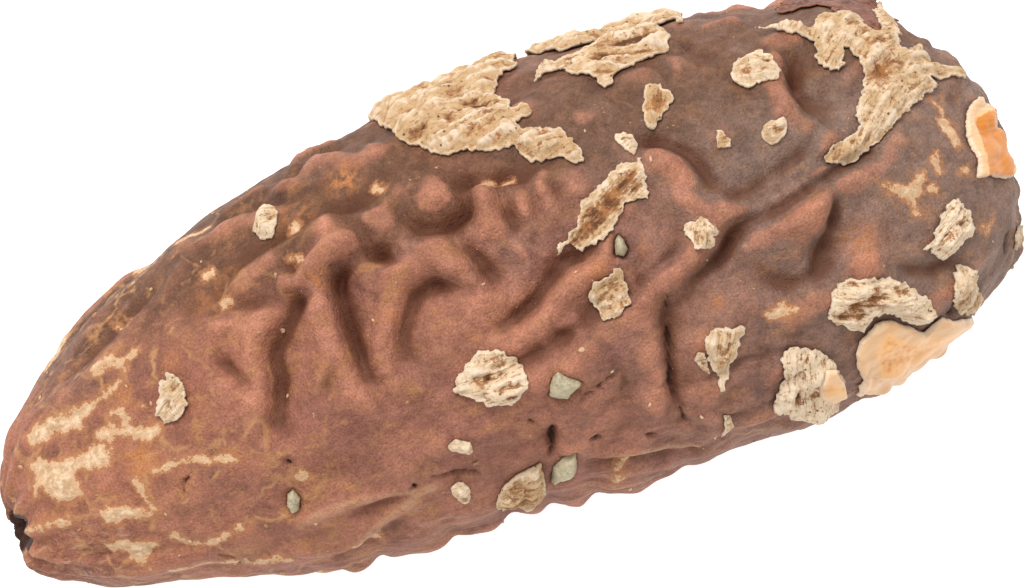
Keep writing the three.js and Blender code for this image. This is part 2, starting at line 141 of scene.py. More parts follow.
def share_at(along):
    return np.interp(along, ALONG, SHARES)


def body(share, angle):
    """Points of the plain body. The angle is 0 at +Y and a quarter turn on top."""
    along, low, high, under, top = np.moveaxis(smooth_curve(STATIONS, share), -1, 0)
    c, s = np.cos(angle), np.sin(angle)
    fullness = (np.abs(c) ** SECTION_POWER + np.abs(s) ** SECTION_POWER) ** (-1 / SECTION_POWER)
    across = (low + high) / 2 + (high - low) / 2 * fullness * c
    height = (under + top) / 2 + (top - under) / 2 * fullness * s
    return np.stack([along, across, height], -1)


def outward(share, angle):
    nudge = 1e-4
    share = np.clip(share, nudge, 1 - 2 * nudge)
    here = body(share, angle)
    out = np.cross(body(share, angle + nudge) - here, body(share + nudge, angle) - here)
    return out / np.linalg.norm(out, axis=-1, keepdims=True)


def unrolled(places):
    """Places seen from above as mm along and mm of girth. Past the widest line they go on down."""
    places = np.asarray(places, float)
    _, low, high, under, top = np.moveaxis(smooth_curve(STATIONS, share_at(places[:, 0])), -1, 0)
    half = (high - low) / 2
    sideways = (places[:, 1] - (low + high) / 2) / half
    past = np.maximum(np.abs(sideways) - 1, 0) * half * np.sign(sideways)
    sideways = np.clip(sideways, -1, 1)
    upwards = (1 - np.abs(sideways) ** SECTION_POWER) ** (1 / SECTION_POWER)
    angle = np.arctan2(upwards, sideways) - past / ((top - under) / 2)
    return np.stack([places[:, 0], GIRTH * angle], -1)


def on_body(places):
    """Points of the plain body at places seen from above."""
    flat = unrolled(places)
    return body(share_at(flat[:, 0]), flat[:, 1] / GIRTH)


def in_metres(points):
    return (np.asarray(points) - (MIDDLE[0], MIDDLE[1], 0)) * 0.001


def lattice_value(i, j, k):
    wave = np.sin(i * 127.1 + j * 311.7 + k * 74.7) * 43758.5453
    return 2 * (wave - np.floor(wave)) - 1


def noise(x, y, z):
    """Smooth noise from -1 to 1, with lumps one unit across."""
    corner = [np.floor(np.asarray(v, float)) for v in (x, y, z)]
    inside = [v - c for v, c in zip((x, y, z), corner)]
    u, v, w = (t * t * (3 - 2 * t) for t in inside)
    i, j, k = corner

    def edge(b, c):
        start, end = lattice_value(i, j + b, k + c), lattice_value(i + 1, j + b, k + c)
        return start + (end - start) * u

    near, far = (edge(0, c) + (edge(1, c) - edge(0, c)) * v for c in (0, 1))
    return near + (far - near) * w


def hump(distance, size):
    return np.exp(-((distance / size) ** 2))


def eased(value, low, high):
    t = np.clip((value - low) / (high - low), 0, 1)
    return t * t * (3 - 2 * t)


# The wrinkled skin. As the seed dried, its thin brown coat shrank into plump folds with narrow
# creases between them. A pit with puckers round it marks where it was joined to the fruit.
FOLDS = [  # how wide and deep each crease is, then its path
    [1.0, 1.1, (24.4, 5.0), (23.2, 4.5), (22.8, 3.0), (22.7, 1.0), (22.8, -1.5)],
    [1.0, 0.9, (28.2, 2.2), (27.0, 2.0), (26.2, 1.2), (25.6, 0.4), (25.0, -1.0)],
    [1.0, 1.0, (20.6, 3.9), (19.0, 2.6), (18.1, 1.5), (17.9, 0.0), (17.0, -2.0)],
    [1.0, 0.8, (24.7, 7.3), (25.3, 6.4), (25.5, 5.3), (26.2, 4.6)],
    [0.9, 0.5, (21.0, 5.9), (22.8, 6.6), (24.2, 6.8)],
    [1.0, 0.7, (28.0, 6.3), (28.7, 5.5), (30.0, 5.3), (31.3, 5.7), (31.6, 7.0)],
    [1.0, 0.8, (30.3, 3.9), (30.9, 3.0), (31.4, 1.5)],
    [0.9, 0.5, (15.3, 2.2), (15.9, 1.2), (16.4, 0.4)],
    [1.0, 0.5, (15.0, 5.2), (17.0, 5.1), (18.6, 4.6), (20.3, 4.1)],
    [1.2, 0.6, (16.0, 6.2), (18.0, 7.3), (21.0, 8.0), (24.0, 8.4), (26.5, 8.3)],
    [0.75, 0.6, (33.5, 6.3), (33.4, 4.8), (33.6, 3.4)],
    [0.75, 0.52, (35.2, 5.9), (35.2, 3.7)],
    [1.0, 0.8, (31.6, 7.6), (33.0, 7.0), (34.6, 6.6)],
    [1.0, 0.8, (31.0, -1.4), (33.0, -0.6), (35.0, 0.6), (37.0, 1.1)],
    [1.2, 0.6, (30.5, -3.7), (34.0, -3.0), (36.5, -2.3)],
    [1.0, 0.8, (42.0, 6.0), (43.2, 5.4), (44.2, 4.4), (45.0, 2.4)],
    [1.1, 0.8, (45.2, -0.8), (44.0, -1.9), (42.0, -2.7)],
    [1.0, 0.75, (51.2, -0.5), (51.0, -1.6), (50.2, -2.8), (49.3, -4.1)],
    [1.0, 0.5, (46.8, -0.9), (49.0, -0.3), (51.3, 0.4), (54.0, 1.0)],
    [1.1, 0.9, (52.0, 7.2), (51.4, 6.0), (51.8, 4.6)],
    [1.2, 0.6, (46.0, -4.0), (47.5, -4.8), (49.5, -4.6)],
    [1.0, 0.5, (31.1, -9.4), (31.4, -8.5), (31.7, -7.7)],
    [0.9, 0.6, (40.2, -2.9), (39.6, -5.2), (39.1, -7.4), (38.8, -9.0)],
    [1.2, 0.5, (53.0, -5.5), (54.6, -6.6), (56.6, -6.7)],
    [1.3, 0.25, (14.0, -8.7), (18.0, -8.7), (21.5, -8.5), (26.0, -8.6)],
    [1.3, 0.3, (17.5, -10.4), (20.0, -10.2), (22.0, -9.8)],
    [0.9, 0.3, (33.0, -10.4), (36.0, -11.3), (40.0, -12.2)],
    [1.1, 0.5, (17.0, 9.6), (19.5, 10.1), (22.4, 9.6)],
    [1.1, 0.5, (22.6, 10.9), (24.5, 11.6), (27.0, 11.0)],
    [1.1, 0.25, (3.0, -5.3), (7.0, -6.6), (12.0, -7.6)],
    [1.2, 0.4, (5.0, 3.9), (9.0, 5.6), (13.0, 7.4)],
    [0.5, 0.35, (21.3, -0.3), (20.3, -1.2)],
    [0.6, 0.4, (28.2, 2.2), (29.0, 1.8), (30.0, 1.3)],
    [0.6, 0.3, (20.6, 6.2), (20.9, 5.6)],
    [0.5, 0.3, (31.4, 6.8), (31.3, 5.6)],
    [0.6, 0.42, (36.5, 5.4), (36.5, 4.0)],
    [0.6, 0.35, (34.3, 0.3), (35.0, 0.9), (36.0, 1.2)],
    [0.7, 0.3, (32.0, -1.0), (35.0, 0.2), (37.0, 1.0)],
    [0.8, 0.6, (38.0, -2.2), (42.0, -0.5)],
    [0.8, 0.5, (44.0, -1.9), (46.0, -0.6), (50.0, 0.2), (54.0, 1.0)],
    [0.9, 0.5, (44.6, 1.6), (46.5, 1.1), (48.2, 1.6), (50.6, 2.3), (52.2, 3.4)],
    [0.7, 0.35, (47.0, 0.6), (50.0, 1.0), (53.0, 1.9)],
    [0.6, 0.3, (47.0, -0.7), (49.0, -0.4), (51.0, 0.2)],
    [0.5, 0.3, (51.0, 6.9), (51.5, 6.3)],
]
CRESTS = [  # thin raised lines: how wide and high each is, then its path
    [0.5, 0.4, (17.0, 10.0), (19.0, 10.5), (20.5, 10.8), (22.0, 10.3), (23.0, 9.9)],
    [0.5, 0.4, (22.6, 11.0), (23.4, 11.8), (24.5, 11.9), (26.0, 11.9)],
    [0.4, 0.3, (23.1, 10.6), (24.0, 11.3), (25.2, 11.5), (26.5, 11.3), (28.4, 10.1)],
    [0.5, 0.35, (47.0, 10.6), (49.0, 10.5), (50.0, 9.9)],
    [0.5, 0.35, (15.0, -8.1), (18.0, -7.6), (21.0, -7.9), (23.5, -8.6), (26.0, -8.7)],
    [0.5, 0.35, (15.0, -9.2), (18.5, -10.0), (21.0, -9.2), (24.0, -8.9)],
    [0.45, 0.35, (32.7, -9.8), (35.6, -10.7), (38.5, -11.6), (39.4, -12.0)],
    [0.5, 0.4, (31.0, -11.3), (34.0, -11.9), (37.0, -12.5)],
    [0.4, 0.3, (38.7, -12.3), (40.0, -12.2), (41.5, -11.8), (43.6, -12.2), (45.5, -12.4)],
    [0.3, 0.25, (34.1, -11.7), (34.6, -11.2), (35.3, -10.8)],
    [0.6, 0.3, (24.9, 5.9), (26.0, 4.1), (27.4, 3.2)],
    [0.4, 0.25, (1.6, -5.0), (4.0, -5.9), (7.0, -6.9)],
]
CRACKS = [  # half the width of each crack, then its path
    [0.22, (31.1, -9.3), (31.4, -8.5), (31.7, -7.8)],
    [0.07, (33.7, -6.7), (34.9, -6.5), (35.4, -6.2), (36.0, -6.1), (36.05, -5.8)],
    [0.1, (40.3, -2.9), (40.05, -3.5)],
    [0.2, (39.8, -4.7), (39.6, -5.3), (39.4, -6.1)],
    [0.2, (39.2, -6.6), (39.0, -7.4), (38.8, -7.9), (38.8, -8.9)],
    [0.08, (39.4, -6.1), (39.2, -6.6)],
    [0.12, (38.9, -9.5), (38.8, -10.5)],
    [0.1, (10.6, -4.0), (10.8, -3.5), (11.2, -3.3)],
    [0.12, (24.3, -8.2), (25.5, -8.4), (26.8, -8.8)],
    [0.22, (16.9, -4.3), (16.9, -4.5)],
    [0.25, (23.0, -8.3), (23.2, -8.3)],
    [0.12, (17.0, -7.0), (17.1, -7.0)],
    [0.12, (30.6, -6.9), (30.7, -6.9)],
    [0.2, (33.6, -9.2), (33.9, -9.2)],
    [0.2, (36.6, -10.2), (36.9, -10.2)],
    [0.2, (46.2, 10.3), (46.5, 10.3)],
    [0.14, (48.4, 9.8), (48.6, 9.8)],
    [0.12, (11.3, -8.0), (11.9, -8.4)],
    [0.1, (12.0, -9.0), (12.7, -8.8)],
    [0.18, (59.6, -7.2), (59.8, -6.5), (60.0, -6.2)],
    [0.2, (55.0, -9.2), (55.4, -9.2)],
]
HIDDEN_FOLDS = 46
PIT, PIT_RADIUS, PIT_DEPTH = (0.3, -2.75, 11.2), 1.15, 1.7
PIT_LIP = (0.5, -2.9, 12.5)  # where its upper lip is worn down
LUMPS = [  # low swellings under grit and crumbs: place, radius, height
    (20.4, 8.8, 0.9, 0.35), (29.0, -10.6, 1.4, 0.3), (31.6, -10.2, 0.9, 0.3), (33.1, -5.5, 1.1, 0.3),
    (46.3, 4.4, 0.6, 0.2), (49.2, 3.8, 0.7, 0.2), (29.5, 6.6, 1.0, 0.5), (38.8, 0.7, 0.6, 0.2),
]


def path_of(points, on=on_body):
    points = on(points)
    return smooth_curve(points, np.linspace(0, 1, 4 * len(points) + 1))


def lengthwise_creases():
    """Creases of the hidden flanks and underside, by the same seeded rule as in the solids."""
    state = 41

    def between(low, high):
        nonlocal state
        state = (state * 1664525 + 1013904223) & 0xFFFFFFFF
        return low + (high - low) * state / 4294967296

    found = []
    for _ in range(HIDDEN_FOLDS):
        start, length = between(6, 54), between(4, 11)
        turn, bend = between(-0.45, 0.45), between(-0.25, 0.25)
        angle = -between(0.08, 0.92) * math.pi
        part = np.array([0, 1 / 3, 2 / 3, 1])
        along = np.minimum(start + length * part, LENGTH - 2)
        points = body(share_at(along), angle + turn * part + bend * np.sin(math.pi * part))
        found.append((between(0.95, 1.35), between(0.35, 0.85), smooth_curve(points, np.linspace(0, 1, 17))))
    return found


CREASES = [(width, depth, path_of(points)) for width, depth, *points in FOLDS] + lengthwise_creases()


def gap_to(points, path, reach):
    """How far points lie from a path, where along it from 0 to 1, and how far to its right-hand side."""
    gap, where, side = np.full(len(points), np.inf), np.full(len(points), 0.5), np.zeros(len(points))
    near = (points > path.min(0) - reach) & (points < path.max(0) + reach)
    chosen = np.flatnonzero(near.all(1))
    if chosen.size:
        step = path[1:] - path[:-1]
        to = points[chosen][:, None] - path[:-1]
        t = np.clip((to * step).sum(-1) / np.maximum((step ** 2).sum(-1), 1e-12), 0, 1)
        offset = to - t[..., None] * step
        gaps = np.linalg.norm(offset, axis=-1)
        best = gaps.argmin(1)
        rows = np.arange(len(chosen))
        gap[chosen] = gaps[rows, best]
        where[chosen] = (best + t[rows, best]) / len(step)
        out = points[chosen] * (0, 1, 1) - (0, MIDDLE[1], 12)
        right = np.cross(step[best], out)
        right /= np.maximum(np.linalg.norm(right, axis=1, keepdims=True), 1e-9)
        side[chosen] = (offset[rows, best] * right).sum(1)
    return gap, where, side


def crease_height(points):
    """Each crease drops steeply from a plump fold on its right-hand side and rises gently beyond."""
    height = np.zeros(len(points))
    for width, depth, path in CREASES:
        gap, where, side = gap_to(points, path, 4.5 * width)
        fade = eased(where, 0, 0.18) * eased(1 - where, 0, 0.18)
        right = 0.5 + 0.5 * np.tanh(side / (0.35 * width))
        slope = width * (1.75 - 1.1 * right)
        valley = 0.75 * hump(gap, slope) + (0.25 + 0.35 * fade) * hump(gap, 0.4 * width)
        fold = 0.55 * hump(gap - 1.3 * width, 0.9 * width) * right * (0.4 + 0.6 * fade)
        height += depth * (0.22 * hump(gap, 2.4 * width) + fold - valley)
    return height + crest_height(points)


def crest_height(points):
    height = np.zeros(len(points))
    for width, rise, *places in CRESTS:
        gap, where, _ = gap_to(points, path_of(places), 4 * width)
        fade = eased(where, 0, 0.2) * eased(1 - where, 0, 0.2)
        height += rise * hump(gap, width) * fade
    return height


# Bumps and notches of the lower edge, in mm along.
EDGE_BUMPS = (17.5, 22.7, 26.5, 29.2, 31.5, 35.0)
EDGE_NOTCHES = (19.8, 24.3, 27.7, 30.1, 32.7, 38.0)


def relief(points):
    """Height of the skin over the plain body. The flat spot that the seed rests on stays plain."""
    x, y, z = points.T
    share = share_at(x)
    _, low, high, under, top = np.moveaxis(smooth_curve(STATIONS, share), -1, 0)
    across = 12 * (2 * y - low - high) / np.maximum(high - low, 1)
    up = 12 * (2 * z - under - top) / np.maximum(top - under, 1)
    height = 0.35 * noise(x / 8, y / 7, z / 7)
    height += 0.3 * noise(x / 6, (y - 0.25 * x) / 2.1, z / 2.1)
    height += crease_height(points)
    swell = noise((x + 0.6 * y) / 2.6, (y - 0.5 * x) / 1.7, z / 1.9)
    height += 0.16 * swell + 0.06 * noise(x / 1.2, y / 0.9, z / 0.9)
    bent = 0.7 * noise(x / 2.2, y / 2.2, z / 2.2 + 9)
    wrinkled = np.abs(noise((x + 0.5 * y) / 1.9 + bent, (y - 0.4 * x) / 1.5, z / 1.7 + 4))
    wrinkled += 0.4 * np.abs(noise(x / 0.9 + bent, y / 0.8, z / 0.8 + 2))
    patchy = 0.35 + 0.65 * eased(noise(x / 5, y / 5, z / 5 + 3), -0.4, 0.5)
    height += (0.15 + 0.4 * eased(x, 14, 42)) * patchy * (wrinkled - 0.46)
    height += 0.3 * (np.abs(noise(x / 5, y / 1.1, z / 1.1 + 6)) - 0.35) * eased(-y, 5, 8) * eased(x, 12, 20)
    streaky = 0.2 + 0.8 * np.maximum(eased(15 - x, 0, 12), 1 - eased(z, 10, 15))
    height += 0.1 * noise(x / 4.5, across / 0.8, up / 0.8) * streaky
    height += 0.015 * noise(x / 0.5, y / 0.5, z / 0.5)
    lower_edge = hump(z - 11, 5) * eased(-y, 5, 9)
    for place in EDGE_BUMPS:
        height += 0.28 * hump(x - place, 0.9) * lower_edge
    for place in EDGE_NOTCHES:
        height -= 0.32 * hump(x - place, 0.55) * lower_edge
    height = np.where(height < 0, 1.3 * np.tanh(height / 1.3), height) * eased(z, 0, 0.7)
    round_pit = np.arctan2(z - PIT[2], y - PIT[1])
    height += 0.22 * np.cos(11 * round_pit) * hump(x - 1.6, 1.6)
    height -= PIT_DEPTH * hump(np.linalg.norm(points - PIT, axis=1), PIT_RADIUS)
    height -= 0.9 * hump(np.linalg.norm(points - PIT_LIP, axis=1), 0.9)
    for along, across, radius, rise in LUMPS:
        centre = on_body([(along, across)])[0]
        height += rise * hump(np.linalg.norm(points - centre, axis=1), radius)
    return height


def on_skin(flat, lift=0.0):
    """Points so far above the wrinkled skin, at unrolled places."""
    share, angle = share_at(flat[:, 0]), flat[:, 1] / GIRTH
    plain = body(share, angle)
    points = plain + outward(share, angle) * (relief(plain) + lift)[:, None]
    points[:, 2] = np.maximum(points[:, 2], 0)
    return points


def depth_inside(points, outline):
    """How far each point lies inside a closed outline, less than 0 outside it."""
    start = np.asarray(outline, float)
    end = np.roll(start, -1, 0)
    step = end - start
    to = points[:, None] - start
    t = np.clip((to * step).sum(-1) / np.maximum((step ** 2).sum(-1), 1e-12), 0, 1)
    gap = np.linalg.norm(to - t[..., None] * step, axis=-1).min(1)
    x, y = points[:, 0, None], points[:, 1, None]
    spans = (start[:, 1] > y) != (end[:, 1] > y)
    rise = np.where(step[:, 1] == 0, 1e-12, step[:, 1])
    crossings = (spans & (x < start[:, 0] + step[:, 0] * (y - start[:, 1]) / rise)).sum(1)
    return np.where(crossings % 2 == 1, gap, -gap)


# Films and stains on the skin. Dried fruit flesh left a thin cream film in patches and strokes,
# mostly near the narrow end, each with an orange halo, and orange stains soaked into the coat.
FILMS = [
    [(2.8, 0.6), (3.6, 0.5), (4.3, 0.2), (5.6, 0.1), (6.7, 0.3), (7.2, 0.0), (7.2, -0.6), (7.0, -1.1),
     (6.0, -0.9), (5.1, -0.9), (4.9, -1.3), (5.1, -2.1), (4.2, -2.4), (3.7, -2.0), (3.3, -1.4),
     (3.0, -1.0), (2.6, -1.4), (2.6, -1.0), (2.8, -0.3)],
    [(3.3, 1.3), (3.2, 2.1), (4.2, 2.1), (4.9, 2.6), (6.0, 2.4), (7.0, 2.7), (7.3, 2.6), (6.3, 1.8),
     (5.0, 1.9), (4.2, 1.6)],
    [(5.6, -3.3), (7.1, -3.6), (8.0, -4.2), (8.5, -4.9), (7.8, -4.8), (7.1, -4.3), (6.0, -4.2)],
    [(5.3, -5.4), (6.5, -5.6), (8.0, -6.1), (8.0, -6.6), (7.2, -6.9), (7.4, -7.4), (6.8, -6.7),
     (5.8, -6.0)],
    [(53.7, -0.9), (54.3, -1.2), (54.9, -1.7), (55.6, -1.6), (56.4, -1.2), (56.0, -2.3), (55.4, -2.6),
     (54.3, -1.9)],
    [(56.8, -0.7), (57.6, -0.5), (57.3, -1.6)],
]
STROKES = [  # half the width of each stroke of film, then its path
    [0.25, (7.0, 0.8), (7.8, 0.6), (8.8, 0.4)],
    [0.15, (7.9, 0.8), (7.9, 1.5), (8.5, 1.7), (8.8, 1.2), (8.5, 0.7)],
    [0.2, (8.9, 0.2), (9.6, -0.1), (10.3, -0.1)],
    [0.12, (7.2, 2.6), (9.0, 3.1), (10.6, 4.2)],
    [0.3, (8.3, 4.2), (9.4, 4.5)],
    [0.25, (9.8, 4.2), (10.8, 4.5)],
    [0.12, (10.3, 6.2), (10.3, 6.6), (10.8, 6.7), (10.9, 6.2), (10.4, 6.1)],
    [0.15, (15.0, 9.4), (17.0, 10.0)],
    [0.15, (12.0, 8.1), (14.0, 9.0)],
    [0.12, (8.3, -2.3), (8.5, -4.6)],
    [0.1, (9.4, -2.3), (11.5, -2.4), (14.0, -3.0)],
    [0.18, (9.2, -6.4), (10.0, -7.1), (10.8, -7.3), (13.0, -7.0)],
    [0.22, (8.5, -8.0), (11.8, -8.7)],
    [0.25, (12.1, -8.9), (15.0, -9.5)],
    [0.3, (18.9, -10.0), (20.0, -10.3)],
    [0.12, (58.4, 2.5), (58.8, 2.0), (59.2, 2.4)],
    [0.12, (58.8, 2.0), (58.8, 1.5)],
    [0.25, (58.7, 1.1), (58.9, 0.4), (58.9, -0.3)],
    [0.15, (58.5, -5.2), (58.8, -5.5), (59.1, -5.2)],
    [0.15, (34.0, -11.7), (34.6, -11.1), (35.4, -10.8)],
    [0.2, (56.4, -2.4), (56.6, -2.4)],
    [0.2, (58.6, -2.0), (58.8, -2.0)],
    [0.15, (55.4, -3.4), (55.6, -3.4)],
    [0.2, (9.8, 1.5), (10.0, 1.5)],
    [0.22, (16.0, 7.4), (16.2, 7.4)],
    [0.15, (16.4, 5.5), (16.6, 5.5)],
    [0.15, (17.2, -5.5), (17.4, -5.5)],
    [0.3, (45.6, -5.85), (46.1, -5.8)],
    [0.25, (46.6, -6.1), (46.9, -6.1)],
    [0.22, (21.1, 6.3), (21.3, 6.3)], [0.2, (26.8, 8.7), (27.1, 8.6)], [0.18, (21.6, 8.1), (21.8, 8.1)],
    [0.2, (32.8, 6.6), (33.0, 6.6)], [0.18, (34.1, 6.5), (34.3, 6.5)], [0.2, (1.6, -3.0), (4.0, -3.1)],
]
STAINS = [  # place, radius and strength
    (8.8, -1.5, 1.2, 0.9), (8.4, -3.4, 0.6, 0.6), (2.8, -3.0, 1.2, 0.5), (6.5, -2.9, 0.8, 0.4),
    (4.5, -4.4, 0.8, 0.35), (9.2, 2.5, 1.2, 0.5), (12.8, 3.4, 1.0, 0.5), (15.5, 5.8, 1.4, 0.5),
    (17.5, 7.0, 1.2, 0.5), (22.0, 8.6, 1.6, 0.5), (25.4, 9.6, 1.2, 0.7), (27.0, 7.4, 0.5, 0.4),
    (22.3, 4.6, 0.7, 0.7), (20.3, 4.5, 0.6, 0.5), (17.4, 2.3, 0.8, 0.4), (26.5, 2.7, 0.4, 0.4),
    (25.3, 1.5, 0.6, 0.6), (14.6, -3.0, 0.9, 0.4), (18.0, -8.6, 1.3, 0.5), (13.5, -8.2, 1.5, 0.4),
    (42.8, -4.1, 0.7, 0.6), (51.8, -3.7, 1.2, 0.5), (49.5, -1.5, 0.9, 0.4), (37.0, 0.0, 1.0, 0.5),
    (40.0, 0.0, 0.6, 0.6), (46.5, 8.9, 0.9, 0.4), (29.3, -1.3, 0.5, 0.6),
]
DUSKY = [  # where the coat is darker
    (40.0, 8.0, 5.0, 0.8), (46.0, 7.0, 4.0, 0.8), (50.0, 3.0, 3.5, 0.7), (25.0, 10.0, 4.0, 0.5),
    (45.0, 3.0, 3.0, 0.4), (35.0, 9.0, 3.0, 0.5), (54.0, 8.0, 4.0, 0.6), (8.0, 6.0, 5.0, 0.7),
    (15.0, 9.0, 4.0, 0.5), (53.0, -5.8, 1.6, 0.6), (38.0, -6.0, 3.0, 0.3), (12.0, -5.0, 4.0, 0.25),
    (48.0, -10.0, 3.0, 0.3), (58.5, -5.0, 3.0, 0.35), (33.0, -8.0, 1.2, 0.5), (46.0, -2.0, 2.0, 0.3),
]
PINKISH = [  # where it is redder and paler
    (52.0, -4.0, 1.5, 0.9), (20.0, 1.5, 1.5, 0.4), (43.2, 3.6, 1.0, 0.5), (17.0, 3.5, 1.8, 0.5),
    (30.0, 0.0, 3.5, 0.35), (23.5, 7.0, 1.2, 0.6), (36.5, 0.4, 1.0, 0.6), (49.0, -0.6, 1.2, 0.4),
    (26.2, 2.0, 0.8, 0.7), (40.0, -8.0, 3.0, 0.5), (4.0, -5.5, 2.0, 0.4), (24.0, -8.0, 3.5, 0.5),
    (33.0, -9.0, 2.5, 0.4), (16.0, -7.0, 3.0, 0.3),
]
GREYISH = [(46.5, 7.1, 0.9, 0.8), (45.6, 9.2, 0.7, 0.8), (28.2, 11.7, 0.6, 1.0), (18.6, 9.6, 0.5, 1.0),
           (29.5, 2.6, 1.0, 0.4), (33.0, 2.6, 1.4, 0.5), (27.5, 4.9, 0.8, 0.5)]
# Hard grey grit of the fruit, grown into sockets in the coat, with painted shade round them: each grain's
# outline.
GRAINS = {
    "grain_left": [(16.0, -7.2), (16.5, -7.2), (16.7, -6.7), (16.5, -6.1), (16.1, -6.2), (15.9, -6.7)],
    "grain_low": [(30.5, -10.9), (30.9, -10.1), (31.6, -9.7), (32.4, -9.55), (32.3, -10.2),
                  (31.9, -10.7), (31.2, -10.8)],
    "grain_white": [(38.4, 0.3), (38.6, 1.1), (38.9, 1.3), (39.1, 1.0), (39.15, 0.4), (38.8, 0.1)],
    "grain_large": [(32.1, -5.8), (32.4, -5.2), (32.7, -4.8), (33.1, -4.65), (33.4, -5.0), (34.0, -5.6),
                    (34.1, -5.8), (33.6, -6.1), (33.1, -6.4), (32.6, -6.2)],
}


def hidden_places(count, seed):
    """Seeded places on the hidden side: mm along, mm of girth."""
    rng = np.random.default_rng(seed)
    along = rng.uniform(5, 58, count)
    angle = -rng.uniform(0.02, 0.98, count) * math.pi
    return np.stack([along, GIRTH * angle], -1), rng


RINGS, COLUMNS = 391, 254
TOP_CROWDING = 0.42  # the columns lie closer together on top, where the skin shows most


def skin_grid():
    """Shares and angles of the skin's rings, spaced evenly along its outline, and its columns."""
    edge = smooth_curve(STATIONS, SHARES)[:, [0, 2, 4]]
    run = np.concatenate([[0], np.cumsum(np.linalg.norm(np.diff(edge, axis=0), axis=1))])
    share = np.interp(np.linspace(0, run[-1], RINGS + 1), run, SHARES)
    even = 2 * math.pi * (np.arange(COLUMNS) + 0.5) / COLUMNS
    return share, even + TOP_CROWDING * np.cos(even)


def film_depth(plain, angle):
    """How far points lie inside the films, less than 0 outside them."""
    depth = np.full(len(plain), -1.5)
    top = np.flatnonzero(np.sin(angle) > -0.05)
    flat = plain[top, :2]
    for outline in FILMS:
        corners = np.array(outline)
        near = ((flat > corners.min(0) - 1) & (flat < corners.max(0) + 1)).all(1)
        chosen = top[near]
        depth[chosen] = np.maximum(depth[chosen], depth_inside(flat[near], corners))
    for half_width, *places in STROKES:
        gap, _, _ = gap_to(plain, path_of(places), 1.5)
        depth = np.maximum(depth, half_width - gap)
    places, rng = hidden_places(70, 11)
    centres = body(share_at(places[:, 0]), places[:, 1] / GIRTH)
    for centre, size, long in zip(centres, rng.uniform(0.2, 0.9, 70), rng.uniform(1, 3, 70)):
        gap = np.linalg.norm((plain - centre) / (long, 1, 1), axis=1)
        depth = np.maximum(depth, size - gap)
    return depth


def crack_depth(plain):
    depth = np.full(len(plain), -1.0)
    for half_width, *places in CRACKS:
        gap, where, _ = gap_to(plain, path_of(places), 1.2)
        narrowed = half_width * (0.35 + 0.65 * np.sin(math.pi * np.clip(where, 0.12, 0.88)))
        depth = np.maximum(depth, narrowed - gap)
    return depth


def socket_depth(plain, angle):
    depth = np.full(len(plain), -1.0)
    top = np.flatnonzero(np.sin(angle) > 0)
    for name, outline in GRAINS.items():
        corners = np.array(outline)
        near = ((plain[top, :2] > corners.min(0) - 1) & (plain[top, :2] < corners.max(0) + 1)).all(1)
        chosen = top[near]
        # Round the white grain the socket reaches 0.12 mm further out: a wider dent with a wider ring of
        # painted shade.
        ring = 0.12 if name == "grain_white" else 0
        depth[chosen] = np.maximum(depth[chosen], depth_inside(plain[chosen, :2], corners) + ring)
    return depth


def soft_spots(plain, rows, hidden=0, seed=0, radii=(0.6, 1.8), powers=(0.3, 0.8)):
    """The sum of soft round spots, with seeded ones on the hidden side."""
    places, rng = hidden_places(hidden, seed)
    centres = body(share_at(places[:, 0]), places[:, 1] / GIRTH)
    spots = [(on_body([(x, y)])[0], radius, power) for x, y, radius, power in rows]
    spots += [(centre, rng.uniform(*radii), rng.uniform(*powers)) for centre in centres]
    strength = np.zeros(len(plain))
    for centre, radius, power in spots:
        strength += power * hump(np.linalg.norm(plain - centre, axis=1), radius)
    return strength


def blurred(field, reach):
    """The field averaged over so many rings and columns each way."""
    total = np.zeros_like(field)
    padded = np.pad(field, ((reach, reach), (0, 0)), mode="edge")
    for step in range(2 * reach + 1):
        total += padded[step:step + len(field)]
    rows = total / (2 * reach + 1)
    return sum(np.roll(rows, step, 1) for step in range(-reach, reach + 1)) / (2 * reach + 1)


def mesh_object(name, points, faces, material, **attributes):
    """A smooth mesh from points in mm, with one value or one vector a point for each attribute."""
    mesh = bpy.data.meshes.new(name)
    mesh.from_pydata(in_metres(points).tolist(), [], faces)
    mesh.polygons.foreach_set("use_smooth", [True] * len(mesh.polygons))
    for key, values in attributes.items():
        values = np.asarray(values, np.float32)
        kind, field = ("FLOAT", "value") if values.ndim == 1 else ("FLOAT_VECTOR", "vector")
        mesh.attributes.new(key, kind, "POINT").data.foreach_set(field, values.ravel())
    mesh.materials.append(material)
    return linked(name, mesh)


